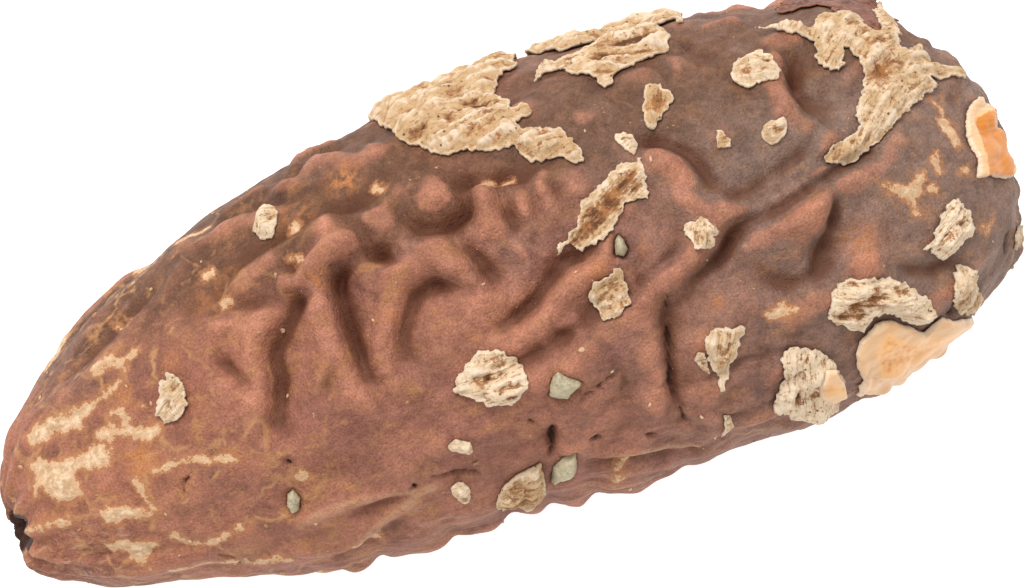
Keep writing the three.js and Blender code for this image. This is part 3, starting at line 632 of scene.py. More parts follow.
class Paint:
    """A material being made. Each method adds one node and gives back its output."""

    def __init__(self, name):
        self.material = bpy.data.materials.new(name)
        self.material.use_nodes = True
        self.tree = self.material.node_tree
        self.shader = self.tree.nodes["Principled BSDF"]

    def add(self, kind, inputs=None, output=0, **settings):
        node = self.tree.nodes.new(kind)
        for key, value in settings.items():
            setattr(node, key, value)
        for key, value in (inputs or {}).items():
            self.set(node.inputs[key], value)
        return node.outputs[output]

    def set(self, socket, value):
        if isinstance(value, bpy.types.NodeSocket):
            self.tree.links.new(value, socket)
        elif isinstance(value, tuple) and len(value) == 3 and socket.type == "RGBA":
            socket.default_value = (*value, 1)
        else:
            socket.default_value = value

    def value(self, name):
        return self.add("ShaderNodeAttribute", output="Fac", attribute_name=name)

    def uneven(self, name, noise, amount):
        """An attribute that some noise makes uneven."""
        swing = self.math("MULTIPLY", self.math("SUBTRACT", noise, 0.5), amount)
        return self.math("ADD", self.value(name), swing)

    def vector(self, name):
        return self.add("ShaderNodeAttribute", output="Vector", attribute_name=name)

    def place(self):
        return self.add("ShaderNodeTexCoord", output="Object")

    def noise(self, size, at, detail=3.0, roughness=0.55):
        """Noise from 0 to 1 with lumps of that size, in the unit of the place that it is read at."""
        inputs = {"Vector": at, "Scale": 1 / size, "Detail": detail, "Roughness": roughness}
        return self.add("ShaderNodeTexNoise", inputs)

    def stretched(self, at, scale):
        return self.add("ShaderNodeVectorMath", {0: at, 1: scale}, operation="MULTIPLY")

    def math(self, operation, first, second=0.0, clamp=False):
        return self.add("ShaderNodeMath", {0: first, 1: second}, operation=operation, use_clamp=clamp)

    def step(self, value, low, high):
        """0 under the low value and 1 over the high one, eased between them."""
        inputs = {"Value": value, "From Min": low, "From Max": high}
        return self.add("ShaderNodeMapRange", inputs, interpolation_type="SMOOTHSTEP")

    def mix(self, factor, first, second, blend="MIX"):
        inputs = {0: factor, 6: first, 7: second}
        return self.add("ShaderNodeMix", inputs, 2, data_type="RGBA", blend_type=blend)

    def finish(self, height, rise, **inputs):
        """Gives the shader its inputs and a bump of that rise in metres."""
        bump = {"Height": height, "Distance": rise, "Strength": 1.0}
        inputs["Normal"] = self.add("ShaderNodeBump", bump)
        for key, value in inputs.items():
            self.set(self.shader.inputs[key.replace("_", " ")], value)
        return self.material


def seed_coat():
    """Matte mauve brown coat, darker and greyer in places, with mottles, stains, films and cracks, painted
    shade in its creases, sockets and pit, and painted highlights on its raised folds and crests.
    """
    paint = Paint("seed_coat")
    at = paint.place()
    broad, patch = paint.noise(0.005, at, 3), paint.noise(0.0018, at, 4, 0.65)
    fine, grain = paint.noise(0.0005, at, 4, 0.65), paint.noise(0.00013, at, 2)
    colour = paint.mix(paint.step(broad, 0.35, 0.65), (0.235, 0.1, 0.074), (0.32, 0.138, 0.09))
    colour = paint.mix(paint.math("MULTIPLY", paint.value("crusty"), 0.5), colour, (0.4, 0.15, 0.085))
    dusk = paint.uneven("dusk", patch, 0.9)
    colour = paint.mix(paint.step(dusk, 0.0, 0.9), colour, (0.2, 0.112, 0.083))
    colour = paint.mix(paint.math("MULTIPLY", paint.value("grey"), 0.85, True), colour, (0.2, 0.137, 0.108))
    # The coat is darker towards the far flank and at the very tip.
    umber = paint.math("MULTIPLY", paint.value("umber"), paint.step(patch, 0.1, 0.5))
    colour = paint.mix(umber, colour, (0.125, 0.058, 0.032))
    # The pink spots are paler, redder coat. The raised folds are painted the same paler pink as a painted
    # highlight.
    pink = paint.math("ADD", paint.value("pink"), paint.step(paint.value("proud"), 0.06, 0.4))
    colour = paint.mix(paint.math("MULTIPLY", pink, 0.65, True), colour, (0.43, 0.185, 0.115))
    shade = paint.mix(paint.step(patch, 0.35, 0.68), (1.14, 1.12, 1.1), (0.8, 0.76, 0.75))
    colour = paint.mix(1.0, colour, shade, "MULTIPLY")
    rusty = paint.noise(0.0013, paint.stretched(at, (0.6, 1.0, 1.0)), 6, 0.72)
    ochre = paint.math("MULTIPLY", paint.step(rusty, 0.5, 0.66), paint.value("ochre"))
    colour = paint.mix(ochre, colour, (0.4, 0.185, 0.075))
    stain = paint.math("MULTIPLY", paint.value("stain"), paint.step(fine, 0.3, 0.62))
    colour = paint.mix(paint.step(stain, 0.05, 0.8), colour, (0.5, 0.2, 0.07))
    shade = paint.mix(paint.step(fine, 0.3, 0.7), (1.1, 1.1, 1.1), (0.88, 0.86, 0.85))
    colour = paint.mix(1.0, colour, shade, "MULTIPLY")
    shade = paint.mix(paint.step(grain, 0.3, 0.7), (1.18, 1.18, 1.18), (0.82, 0.8, 0.78))
    colour = paint.mix(1.0, colour, shade, "MULTIPLY")
    nudge = paint.add("ShaderNodeTexNoise", {"Vector": at, "Scale": 700.0, "Detail": 4.0}, "Color")
    nudge = paint.add("ShaderNodeVectorMath", {0: nudge, 1: (0.0022, 0.0022, 0.0022)}, operation="MULTIPLY")
    warped = paint.add("ShaderNodeVectorMath", {0: at, 1: nudge}, operation="ADD")
    crust = paint.add("ShaderNodeTexVoronoi", {"Vector": warped, "Scale": 360.0}, feature="DISTANCE_TO_EDGE")
    crust = paint.math("MULTIPLY", paint.step(crust, 0.1, 0.0), paint.step(patch, 0.47, 0.6))
    crust = paint.math("MULTIPLY", crust, paint.value("crusty"))
    colour = paint.mix(crust, colour, (0.5, 0.25, 0.11))
    # The crests of the lower flank are painted paler, a painted highlight.
    crest = paint.math("MULTIPLY", paint.step(paint.value("crest"), 0.16, 0.34), paint.step(fine, 0.35, 0.6))
    colour = paint.mix(paint.math("MULTIPLY", crest, 0.6), colour, (0.52, 0.31, 0.18))
    streaks = paint.noise(0.00035, paint.stretched(at, (0.1, 1.0, 1.0)), 4, 0.6)
    streaky = paint.value("streaky")
    pale = paint.math("MULTIPLY", paint.step(streaks, 0.55, 0.68), streaky)
    dark = paint.math("MULTIPLY", paint.step(streaks, 0.45, 0.34), streaky)
    colour = paint.mix(dark, paint.mix(pale, colour, (0.52, 0.3, 0.19)), (0.17, 0.06, 0.04))
    specks = paint.noise(0.0006, at, 3, 0.8)
    colour = paint.mix(paint.step(specks, 0.68, 0.76), colour, (0.5, 0.27, 0.13))
    # The creases are painted darker, partly a brown deposit in them and partly painted shade, and near black at
    # their floors.
    hollow = paint.uneven("hollow", fine, 0.2)
    shaded = paint.math("MULTIPLY", paint.step(hollow, 0.04, 0.55), 0.8)
    colour = paint.mix(shaded, colour, (0.11, 0.038, 0.018))
    colour = paint.mix(paint.step(hollow, 0.5, 1.0), colour, (0.06, 0.013, 0.004))
    torn = paint.noise(0.0012, at, 5, 0.75)
    ragged = paint.math("MULTIPLY", paint.math("SUBTRACT", torn, 0.5), 2.2)
    film = paint.math("ADD", paint.value("film"), ragged)
    colour = paint.mix(paint.step(film, -0.4, 0.1), colour, (0.44, 0.19, 0.08))
    cream = paint.mix(paint.step(fine, 0.35, 0.62), (0.8, 0.58, 0.38), (0.5, 0.31, 0.17))
    cream = paint.mix(paint.step(film, 0.0, 0.45), (0.6, 0.36, 0.2), cream)
    colour = paint.mix(paint.step(film, -0.03, 0.06), colour, cream)
    # Cracks are painted near black. The same mark paints the sockets round the grains and the inside of the
    # germ pit near black, painted shade.
    crack = paint.uneven("crack", fine, 0.35)
    colour = paint.mix(paint.step(crack, -0.06, 0.14), colour, (0.05, 0.017, 0.009))
    cells = paint.add("ShaderNodeTexVoronoi", {"Vector": at, "Scale": 3800.0})
    pores = paint.step(cells, 0.1, 0.4)
    height = paint.math("ADD", paint.math("MULTIPLY", fine, 1.3), paint.math("MULTIPLY", grain, 0.7))
    height = paint.math("ADD", height, paint.math("MULTIPLY", pores, 0.3))
    height = paint.math("ADD", height, paint.math("MULTIPLY", paint.math("MULTIPLY", streaks, streaky), 3.0))
    rough = paint.math("ADD", 0.5, paint.math("MULTIPLY", patch, 0.2))
    return paint.finish(height, 0.00008, Base_Color=colour, Roughness=rough, Specular_IOR_Level=0.2)


share, angle = skin_grid()
grid_share = np.repeat(share[1:-1], COLUMNS)
grid_angle = np.tile(angle, RINGS - 1)
all_share = np.concatenate([[share[0]], grid_share, [share[-1]]])
all_angle = np.concatenate([[angle[0]], grid_angle, [angle[0]]])
plain = body(all_share, all_angle)
height = relief(plain)
field = height[1:-1].reshape(RINGS - 1, COLUMNS)
proud = np.concatenate([[0], (field - blurred(field, 9)).ravel(), [0]])
film = film_depth(plain, all_angle)
crack = crack_depth(plain)
socket = socket_depth(plain, all_angle)
height += 0.05 * eased(film, -0.05, 0.15)
height -= 0.45 * eased(crack, -0.12, 0.12) + 0.3 * eased(socket, -0.3, 0.0)
points = plain + outward(all_share, all_angle) * height[:, None]
points[:, 2] = np.maximum(points[:, 2], 0)

first, last = 0, len(points) - 1
column = np.arange(COLUMNS)
after = (column + 1) % COLUMNS
faces = [(first, 1 + int(b), 1 + int(a)) for a, b in zip(column, after)]
for ring in range(RINGS - 2):
    low, high = 1 + ring * COLUMNS, 1 + (ring + 1) * COLUMNS
    faces += [(low + int(a), low + int(b), high + int(b), high + int(a)) for a, b in zip(column, after)]
low = 1 + (RINGS - 2) * COLUMNS
faces += [(last, low + int(a), low + int(b)) for a, b in zip(column, after)]

x, y, z = plain.T
# The germ pit is painted near black inside, painted shade.
pit = np.where(z > 8, 1.15 - np.hypot(x - 0.4, (y + 2.9) / 1.1) + 0.3 * noise(x / 0.5, y / 0.5, z / 0.5), -1)
skin = mesh_object(
    "seed_skin", points, faces, seed_coat(),
    # How far the skin stands above or sinks below its surroundings: raised folds get a painted highlight,
    # creases deposit and painted shade.
    proud=np.maximum(proud, 0), hollow=np.maximum(-proud, 0), film=film,
    # The crack mark also carries the sockets and the pit, which are painted dark as painted shade.
    crack=np.maximum.reduce([crack, socket + 0.07, pit]),
    stain=soft_spots(plain, STAINS, 34, 5),
    # Crest heights on the lower flank, painted paler there as a painted highlight.
    crest=crest_height(plain) * eased(-y, 5, 7),
    crusty=0.15 + 0.65 * eased(24 - x, 0, 12),
    ochre=(0.35 + 0.45 * eased(34 - x, 0, 14)) * (1 - 0.6 * eased(y, 3, 8)),
    streaky=0.8 * eased(13 - x, 0, 10) * np.maximum(eased(-y, 2.5, 5), eased(y, 2, 5)) + 0.3 * eased(-y, 7, 11),
    dusk=soft_spots(plain, DUSKY, 24, 6, (2, 5), (0.3, 0.7)),
    pink=soft_spots(plain, PINKISH, 20, 8, (1, 3), (0.3, 0.6)),
    grey=eased(x, 30, 54) + soft_spots(plain, GREYISH), 
    # Darker towards the far flank and at the very tip.
    umber=eased(y, 2.5, 7.5) * (0.75 + 0.25 * eased(34 - x, 0, 8)) + 0.6 * eased(1.4 - x, 0, 1.2),
)
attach(skin, "root")
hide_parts("seed")

# Scraps of the husk. The fruit's fibrous inner wall tore away and left buff scraps up to 1 mm
# thick, stuck to the coat by their middles, with pale torn rims that lift and brown pith inside.
SCRAPS = {
    "husk_tip_patch": {
        "outline": [(10.6, 0.7), (10.9, 0.0), (12.0, 0.1), (12.6, 0.7), (12.9, 1.7), (12.6, 2.4),
                    (12.2, 2.7), (11.9, 2.3), (11.5, 2.4), (11.3, 1.7), (10.9, 1.3)],
        "fibre": 30, "tone": 0.25, "hollows": [(11.6, 0.9, 0.4, 0.2), (12.2, 1.7, 0.3, 0.2)],
    },
    "husk_oval": {
        "outline": [(27.2, -3.8), (27.6, -3.2), (28.2, -2.6), (29.2, -2.15), (29.8, -2.2), (30.4, -2.5),
                    (31.0, -3.1), (31.5, -4.2), (31.1, -5.0), (30.4, -5.25), (29.4, -5.25),
                    (28.8, -5.0), (28.2, -4.5), (27.2, -3.95)],
        "fibre": 0, "tone": 0.1,
        "hollows": [(29.2, -3.7, 0.22, 0.25), (29.7, -3.2, 0.2, 0.2), (30.3, -4.2, 0.18, 0.25),
                    (30.0, -3.7, 0.16, 0.2), (28.5, -3.4, 0.2, 0.12), (28.9, -4.4, 0.2, 0.1)],
    },
    "husk_shoulder": {
        "outline": [(29.1, 10.5), (29.6, 10.1), (30.3, 9.7), (31.0, 9.1), (32.2, 8.8), (33.2, 8.5),
                    (34.4, 8.1), (35.2, 8.0), (35.3, 7.6), (35.8, 7.0), (36.4, 6.8), (37.2, 6.6),
                    (37.8, 6.0), (38.4, 5.9), (38.5, 6.4), (38.3, 7.1), (37.9, 7.8), (37.2, 8.3),
                    (36.5, 8.4), (35.9, 8.6), (35.6, 8.8), (35.6, 9.05), (36.6, 9.2), (36.7, 9.3),
                    (36.5, 9.8), (35.9, 9.9), (35.9, 10.4), (35.6, 10.9), (35.1, 11.4), (35.6, 11.8),
                    (36.8, 12.2), (37.0, 13.2), (35.6, 14.6), (34.0, 14.1), (32.4, 15.2), (30.6, 14.4),
                    (29.2, 14.0), (27.9, 13.0), (28.0, 12.3), (28.7, 11.6)],
        "fibre": 8, "tone": 0.45, "thick": 0.6,
        "hollows": [(33.0, 11.6, 0.7, 0.35), (33.9, 11.0, 0.8, 0.5), (34.6, 10.1, 0.6, 0.45),
                    (32.2, 10.6, 0.6, 0.5), (36.9, 8.1, 0.35, 0.3), (30.6, 11.6, 0.6, 0.5),
                    (30.4, 10.5, 0.45, 0.4), (33.2, 9.7, 0.5, 0.4), (35.4, 7.9, 0.4, 0.35)],
        "rust": [(33.3, 9.2, 0.35), (33.9, 8.9, 0.35), (34.4, 8.5, 0.3), (37.0, 8.0, 0.4)],
    },
    "husk_edge_strip": {
        "outline": [(37.6, 12.6), (39.5, 12.05), (41.0, 11.95), (43.0, 12.2), (44.5, 12.0), (45.3, 11.5),
                    (46.3, 11.6), (46.2, 11.2), (46.6, 11.1), (46.7, 12.2), (45.8, 13.2), (43.6, 14.2),
                    (41.8, 13.7), (39.6, 14.6), (38.0, 14.0)],
        "fibre": 0, "tone": 0.4, "hollows": [(40.0, 12.9, 0.5, 0.2), (43.5, 12.9, 0.5, 0.2)],
    },
    "husk_ridge": {
        "outline": [(37.4, 11.0), (37.7, 11.5), (38.2, 11.8), (38.9, 11.7), (39.6, 11.5), (40.5, 11.35),
                    (41.1, 11.5), (41.9, 11.85), (43.0, 12.0), (44.0, 11.85), (44.6, 11.6), (45.0, 11.3),
                    (45.7, 10.6), (45.2, 10.3), (44.2, 10.1), (43.3, 10.2), (42.6, 10.1), (41.9, 9.8),
                    (41.5, 9.35), (41.1, 9.2), (40.8, 9.4), (40.9, 9.8), (40.3, 10.2), (39.6, 10.5),
                    (39.3, 11.0), (39.0, 11.2), (38.3, 11.3), (37.8, 11.1)],
        "fibre": -8, "tone": 0.35,
        "hollows": [(42.6, 11.2, 0.8, 0.5), (43.8, 11.1, 0.7, 0.4), (41.4, 10.8, 0.6, 0.4),
                    (39.6, 11.1, 0.5, 0.4), (42.4, 10.3, 0.4, 0.3)],
        "rust": [(42.3, 10.6, 0.6)],
    },
    "husk_trough": {
        "outline": [(35.2, 1.3), (35.3, 1.9), (35.7, 2.2), (36.1, 2.2), (37.0, 2.9), (37.4, 3.6),
                    (38.2, 4.0), (39.3, 4.4), (40.3, 4.95), (40.8, 4.8), (41.0, 4.6), (41.4, 4.9),
                    (41.6, 4.85), (41.6, 4.0), (41.5, 3.5), (41.3, 3.1), (41.2, 2.6), (40.6, 2.8),
                    (39.9, 2.9), (39.3, 2.2), (38.5, 1.5), (37.9, 1.3), (37.2, 1.2), (36.7, 1.1),
                    (36.3, 1.3), (36.1, 1.6)],
        "fibre": 25, "tone": 0.3,
        "hollows": [(36.4, 1.8, 0.4, 0.35), (37.2, 2.2, 0.6, 0.55), (38.0, 2.7, 0.62, 0.6),
                    (38.9, 3.2, 0.65, 0.65), (39.8, 3.7, 0.65, 0.6), (40.6, 4.0, 0.6, 0.5)],
        "rust": [(37.4, 2.2, 0.45), (38.6, 2.9, 0.5), (39.6, 3.5, 0.5), (40.7, 4.1, 0.5)],
    },
    "husk_square": {
        "outline": [(36.15, -1.4), (36.5, -0.9), (37.2, -0.7), (37.9, -0.4), (38.4, -0.25),
                    (38.4, -0.9), (38.5, -1.8), (38.2, -2.5), (37.8, -2.7), (37.1, -2.95),
                    (36.5, -2.9), (36.3, -2.3), (36.2, -1.8)],
        "fibre": 10, "tone": 0.35, "hollows": [(37.3, -1.9, 0.4, 0.2)], "rust": [(37.9, -2.3, 0.5)],
    },
    "husk_chip": {
        "outline": [(42.45, 0.4), (42.9, 0.65), (43.5, 0.65), (43.85, 0.5), (43.95, 0.2), (44.3, -0.4),
                    (43.8, -0.6), (43.7, -1.0), (43.2, -1.0), (42.6, -0.9), (42.5, -0.5)],
        "fibre": 60, "tone": 0.15, "hollows": [(43.0, -0.3, 0.4, 0.35)],
    },
    "husk_crumb": {
        "outline": [(42.7, 7.2), (42.6, 6.6), (42.9, 6.4), (43.4, 6.7), (44.0, 7.0), (44.5, 7.4),
                    (44.3, 7.8), (44.1, 8.4), (43.6, 8.4), (43.3, 8.5), (43.0, 8.0), (42.8, 7.6)],
        "fibre": 70, "tone": 0.6, "hollows": [(43.5, 7.5, 0.5, 0.4)], "rust": [(43.4, 7.4, 0.7)],
    },
    "husk_knob": {
        "outline": [(48.15, 7.5), (48.4, 8.1), (48.8, 8.3), (49.3, 8.15), (49.9, 8.1), (50.1, 7.7),
                    (50.4, 7.1), (50.6, 6.5), (50.3, 6.25), (49.7, 6.4), (49.2, 6.6), (48.7, 6.6),
                    (48.3, 6.9)],
        "fibre": -20, "tone": 0.2, "thick": 0.65, "hollows": [(48.9, 7.3, 0.35, 0.25), (49.8, 7.2, 0.3, 0.2)],
        "rust": [(48.8, 7.2, 0.4)],
    },
    "husk_wedge": {
        "outline": [(41.6, -5.6), (42.1, -5.5), (43.0, -5.6), (43.8, -6.0), (43.4, -6.5), (42.9, -7.1),
                    (42.6, -7.6), (42.1, -8.4), (41.4, -8.7), (41.6, -8.2), (41.4, -7.8), (41.3, -7.4),
                    (41.4, -6.2)],
        "fibre": 60, "tone": 0.3, "hollows": [(42.2, -6.6, 0.4, 0.25)], "rust": [(42.0, -7.2, 0.4)],
    },
    "husk_pad": {
        "outline": [(45.2, -8.3), (45.7, -8.05), (46.4, -8.05), (47.3, -8.4), (47.9, -9.2), (48.1, -9.9),
                    (48.1, -10.3), (47.9, -10.9), (47.4, -11.8), (46.6, -12.0), (45.9, -12.2),
                    (45.1, -12.0), (44.7, -11.7), (44.3, -11.2), (43.8, -11.0), (44.3, -10.4),
                    (44.9, -9.9), (45.1, -9.5), (45.1, -8.9)],
        "fibre": 70, "tone": 0.0, "hollows": [(45.9, -9.5, 0.5, 0.25), (45.6, -10.9, 0.6, 0.3)],
        "rust": [(46.9, -10.4, 0.5)],
    },
    "husk_arch": {
        "outline": [(48.45, -7.1), (48.7, -6.5), (49.1, -6.0), (49.8, -5.6), (50.4, -5.4), (51.0, -5.5),
                    (51.7, -5.8), (52.2, -6.0), (52.5, -5.85), (52.8, -6.4), (53.4, -7.0), (53.8, -7.4),
                    (54.2, -7.8), (54.1, -8.3), (53.9, -8.9), (53.2, -8.95), (52.5, -8.6),
                    (52.0, -8.2), (51.6, -8.0), (51.0, -7.95), (50.6, -8.3), (50.2, -8.6),
                    (49.7, -8.3), (49.3, -7.9), (48.8, -7.6)],
        "fibre": -25, "tone": 0.05, "thick": 0.65,
        "hollows": [(49.3, -7.1, 0.4, 0.4), (50.2, -6.9, 0.5, 0.5), (51.1, -6.9, 0.45, 0.45),
                    (50.3, -7.6, 0.35, 0.5)],
        "rust": [(50.0, -7.0, 0.7), (51.2, -6.9, 0.6)],
    },
    "husk_bean": {
        "outline": [(54.65, -5.2), (54.9, -4.9), (55.4, -4.7), (55.8, -4.2), (56.2, -3.8), (56.8, -3.3),
                    (57.2, -3.1), (57.6, -3.2), (57.9, -3.8), (58.1, -4.3), (57.8, -5.0), (57.6, -5.3),
                    (57.1, -5.6), (56.7, -5.9), (56.0, -6.25), (55.5, -6.1), (55.1, -5.6), (55.1, -5.3)],
        "fibre": 35, "tone": -0.1, "thick": 0.65,
        "hollows": [(57.3, -4.6, 0.25, 0.6), (56.3, -4.9, 0.4, 0.15)], "rust": [(56.4, -4.9, 0.3)],
    },
    "husk_nib": {
        "outline": [(55.3, -8.2), (55.6, -7.6), (56.1, -7.1), (56.6, -6.9), (57.0, -7.2), (57.0, -8.0),
                    (57.1, -8.6), (57.0, -9.0), (56.4, -9.5), (55.9, -9.3), (55.5, -8.9)],
        "fibre": 50, "tone": 0.2, "hollows": [(56.4, -8.2, 0.35, 0.2)],
    },
    "husk_fork": {
        "outline": [(50.4, 9.5), (51.2, 9.3), (51.6, 9.1), (52.5, 8.8), (53.2, 8.35), (53.7, 8.4),
                    (54.0, 8.75), (54.7, 8.5), (55.4, 8.3), (55.9, 8.0), (56.0, 7.4), (56.5, 7.0),
                    (56.9, 6.8), (56.8, 7.6), (57.0, 8.0), (57.3, 7.4), (57.65, 6.9), (57.5, 6.3),
                    (57.5, 5.9), (57.9, 5.3), (58.6, 5.35), (58.8, 4.7), (59.0, 4.3), (59.5, 3.9),
                    (60.1, 3.3), (60.2, 2.9), (59.3, 3.4), (58.6, 3.6), (58.9, 3.1), (58.3, 2.9),
                    (57.8, 2.6), (57.0, 2.3), (56.2, 2.1), (55.6, 1.9), (54.9, 1.4), (54.3, 1.1),
                    (53.3, 0.7), (52.7, 0.75), (52.0, 1.0), (51.4, 1.2), (51.6, 1.7), (52.0, 2.0),
                    (52.9, 2.1), (53.5, 2.2), (53.9, 2.5), (54.1, 3.3), (54.3, 3.8), (54.8, 4.4),
                    (55.1, 5.0), (55.1, 5.6), (55.2, 6.2), (54.9, 6.7), (54.6, 6.9), (54.3, 6.8),
                    (54.3, 6.2), (54.2, 5.9), (53.9, 5.75), (53.4, 6.0), (53.2, 6.5), (53.1, 6.9),
                    (53.3, 7.4), (53.2, 7.8), (52.8, 8.0), (52.0, 8.3), (51.4, 8.7), (51.0, 9.1)],
        "fibre": 55, "tone": 0.3, "thick": 0.55,
        "hollows": [(55.9, 5.0, 0.6, 0.25), (56.3, 6.3, 0.4, 0.2), (54.9, 2.5, 0.5, 0.12)],
        "rust": [(55.6, 4.4, 0.8), (56.3, 4.9, 0.7), (55.9, 6.3, 0.5), (56.8, 5.6, 0.4)],
    },
}
CRUMBS = {  # smaller scraps, which the solids leave to the looks
    "crumb_upper": ([(19.4, 8.6), (19.7, 8.1), (20.3, 8.0), (21.0, 8.5), (21.35, 8.9), (21.2, 9.3),
                     (20.9, 9.5), (20.3, 9.3), (19.9, 8.9)], 0.1),
    "crumb_mid": ([(25.8, -6.5), (26.3, -6.4), (27.05, -6.7), (26.95, -7.4), (26.7, -7.5), (26.3, -7.1),
                   (25.9, -6.8)], 0.2),
    "crumb_low": ([(25.0, -9.0), (25.3, -8.9), (25.8, -9.0), (26.05, -9.3), (26.0, -9.7), (25.5, -9.85),
                   (25.1, -9.6)], 0.2),
    "crumb_cup": ([(27.1, -10.4), (27.8, -9.9), (28.7, -9.6), (30.3, -9.6), (30.2, -10.3), (30.0, -11.1),
                   (29.5, -11.5), (28.8, -11.6), (28.2, -11.1), (27.4, -11.0)], 0.4),
    "crumb_peg": ([(40.55, 6.3), (40.7, 6.7), (41.2, 6.75), (41.7, 6.4), (41.8, 5.8), (41.5, 5.3),
                   (41.25, 5.1), (40.9, 5.6)], 0.1),
    "crumb_ring": ([(45.9, 4.0), (46.0, 4.6), (46.1, 5.0), (46.5, 4.9), (46.6, 4.4), (46.8, 4.2),
                    (46.7, 3.8), (46.4, 3.9)], 0.4),
    "crumb_eye": ([(48.4, 3.8), (48.7, 4.3), (49.2, 4.35), (49.5, 4.2), (49.9, 4.25), (50.0, 3.9),
                   (49.8, 3.4), (49.3, 3.15), (48.8, 3.2)], 0.3),
    "crumb_flap": ([(40.55, -6.8), (40.9, -6.4), (41.2, -6.5), (41.2, -7.2), (41.1, -7.8),
                    (40.8, -7.4)], 0.4),
    "crumb_sliver": ([(40.5, -11.4), (40.9, -11.0), (41.1, -10.5), (41.4, -10.7), (41.4, -11.1)], 0.2),
    "crumb_end": ([(60.1, -7.0), (60.3, -6.4), (60.7, -6.1), (60.8, -6.8), (60.5, -7.3)], 0.3),
}


def ragged_outline(outline, step, raggedness):
    """The outline in short steps, with its straight edges torn a little in and out."""
    corners = np.asarray(outline, float)
    torn = []
    for start, end in zip(corners, np.roll(corners, -1, 0)):
        count = max(1, round(np.linalg.norm(end - start) / step))
        part = np.arange(count)[:, None] / count
        torn.append(start + (end - start) * part)
    points = np.vstack(torn)
    tangent = np.roll(points, -1, 0) - np.roll(points, 1, 0)
    side = np.stack([tangent[:, 1], -tangent[:, 0]], -1)
    side /= np.maximum(np.linalg.norm(side, axis=1, keepdims=True), 1e-9)
    x, y = points.T
    tear = 0.5 * noise(x / 0.6, y / 0.6, 3.3) + 0.55 * noise(x / 0.25, y / 0.25, 8.1)
    tear += 0.35 * noise(x / 0.12, y / 0.12, 1.9) + 0.8 * noise(x / 2.0, y / 2.0, 5.2)
    return points + side * (raggedness * tear)[:, None]


def torn_sheet(rim, spacing):
    """A flat triangle mesh within an unrolled rim, and how far each of its points is from the rim."""
    low, high = rim.min(0), rim.max(0)
    rows = np.arange(low[1], high[1], spacing * 0.87)
    columns = np.arange(low[0], high[0], spacing)
    x, y = np.meshgrid(columns, rows)
    x = x + (np.arange(len(rows)) % 2)[:, None] * spacing / 2
    grid = np.stack([x.ravel(), y.ravel()], -1)
    grid += 0.22 * spacing * np.stack([noise(*grid.T * 31.7, 0.5), noise(*grid.T * 31.7, 7.5)], -1)
    grid = grid[depth_inside(grid, rim) > 0.5 * spacing]
    count = len(rim)
    flat = [Vector(p) for p in np.vstack([rim, grid])]
    edges = [(k, (k + 1) % count) for k in range(count)]
    flat, _, faces, *_ = delaunay_2d_cdt(flat, edges, [], 1, 1e-5)
    flat = np.array(flat)
    return flat, faces, np.maximum(depth_inside(flat, rim), 0)


def shell(flat, faces, under, over):
    """A closed shell between two lifts over the skin. Its faces are turned outwards later."""
    count = len(flat)
    points = np.vstack([on_skin(flat, over), on_skin(flat, under)])
    sides = {}
    for face in faces:
        for a, b in zip(face, (*face[1:], face[0])):
            sides[(a, b)] = True
    rim = [(a, b) for a, b in sides if (b, a) not in sides]
    faces = [tuple(face) for face in faces] + [tuple(count + k for k in reversed(face)) for face in faces]
    faces += [(b, a, count + a, count + b) for a, b in rim]
    return points, faces


def closed_object(name, points, faces, material, **attributes):
    made = mesh_object(name, points, faces, material, **attributes)
    shape = bmesh.new()
    shape.from_mesh(made.data)
    loose = [v for v in shape.verts if not v.link_faces]
    bmesh.ops.delete(shape, geom=loose, context="VERTS")
    bmesh.ops.recalc_face_normals(shape, faces=shape.faces)
    shape.to_mesh(made.data)
    shape.free()
    return made


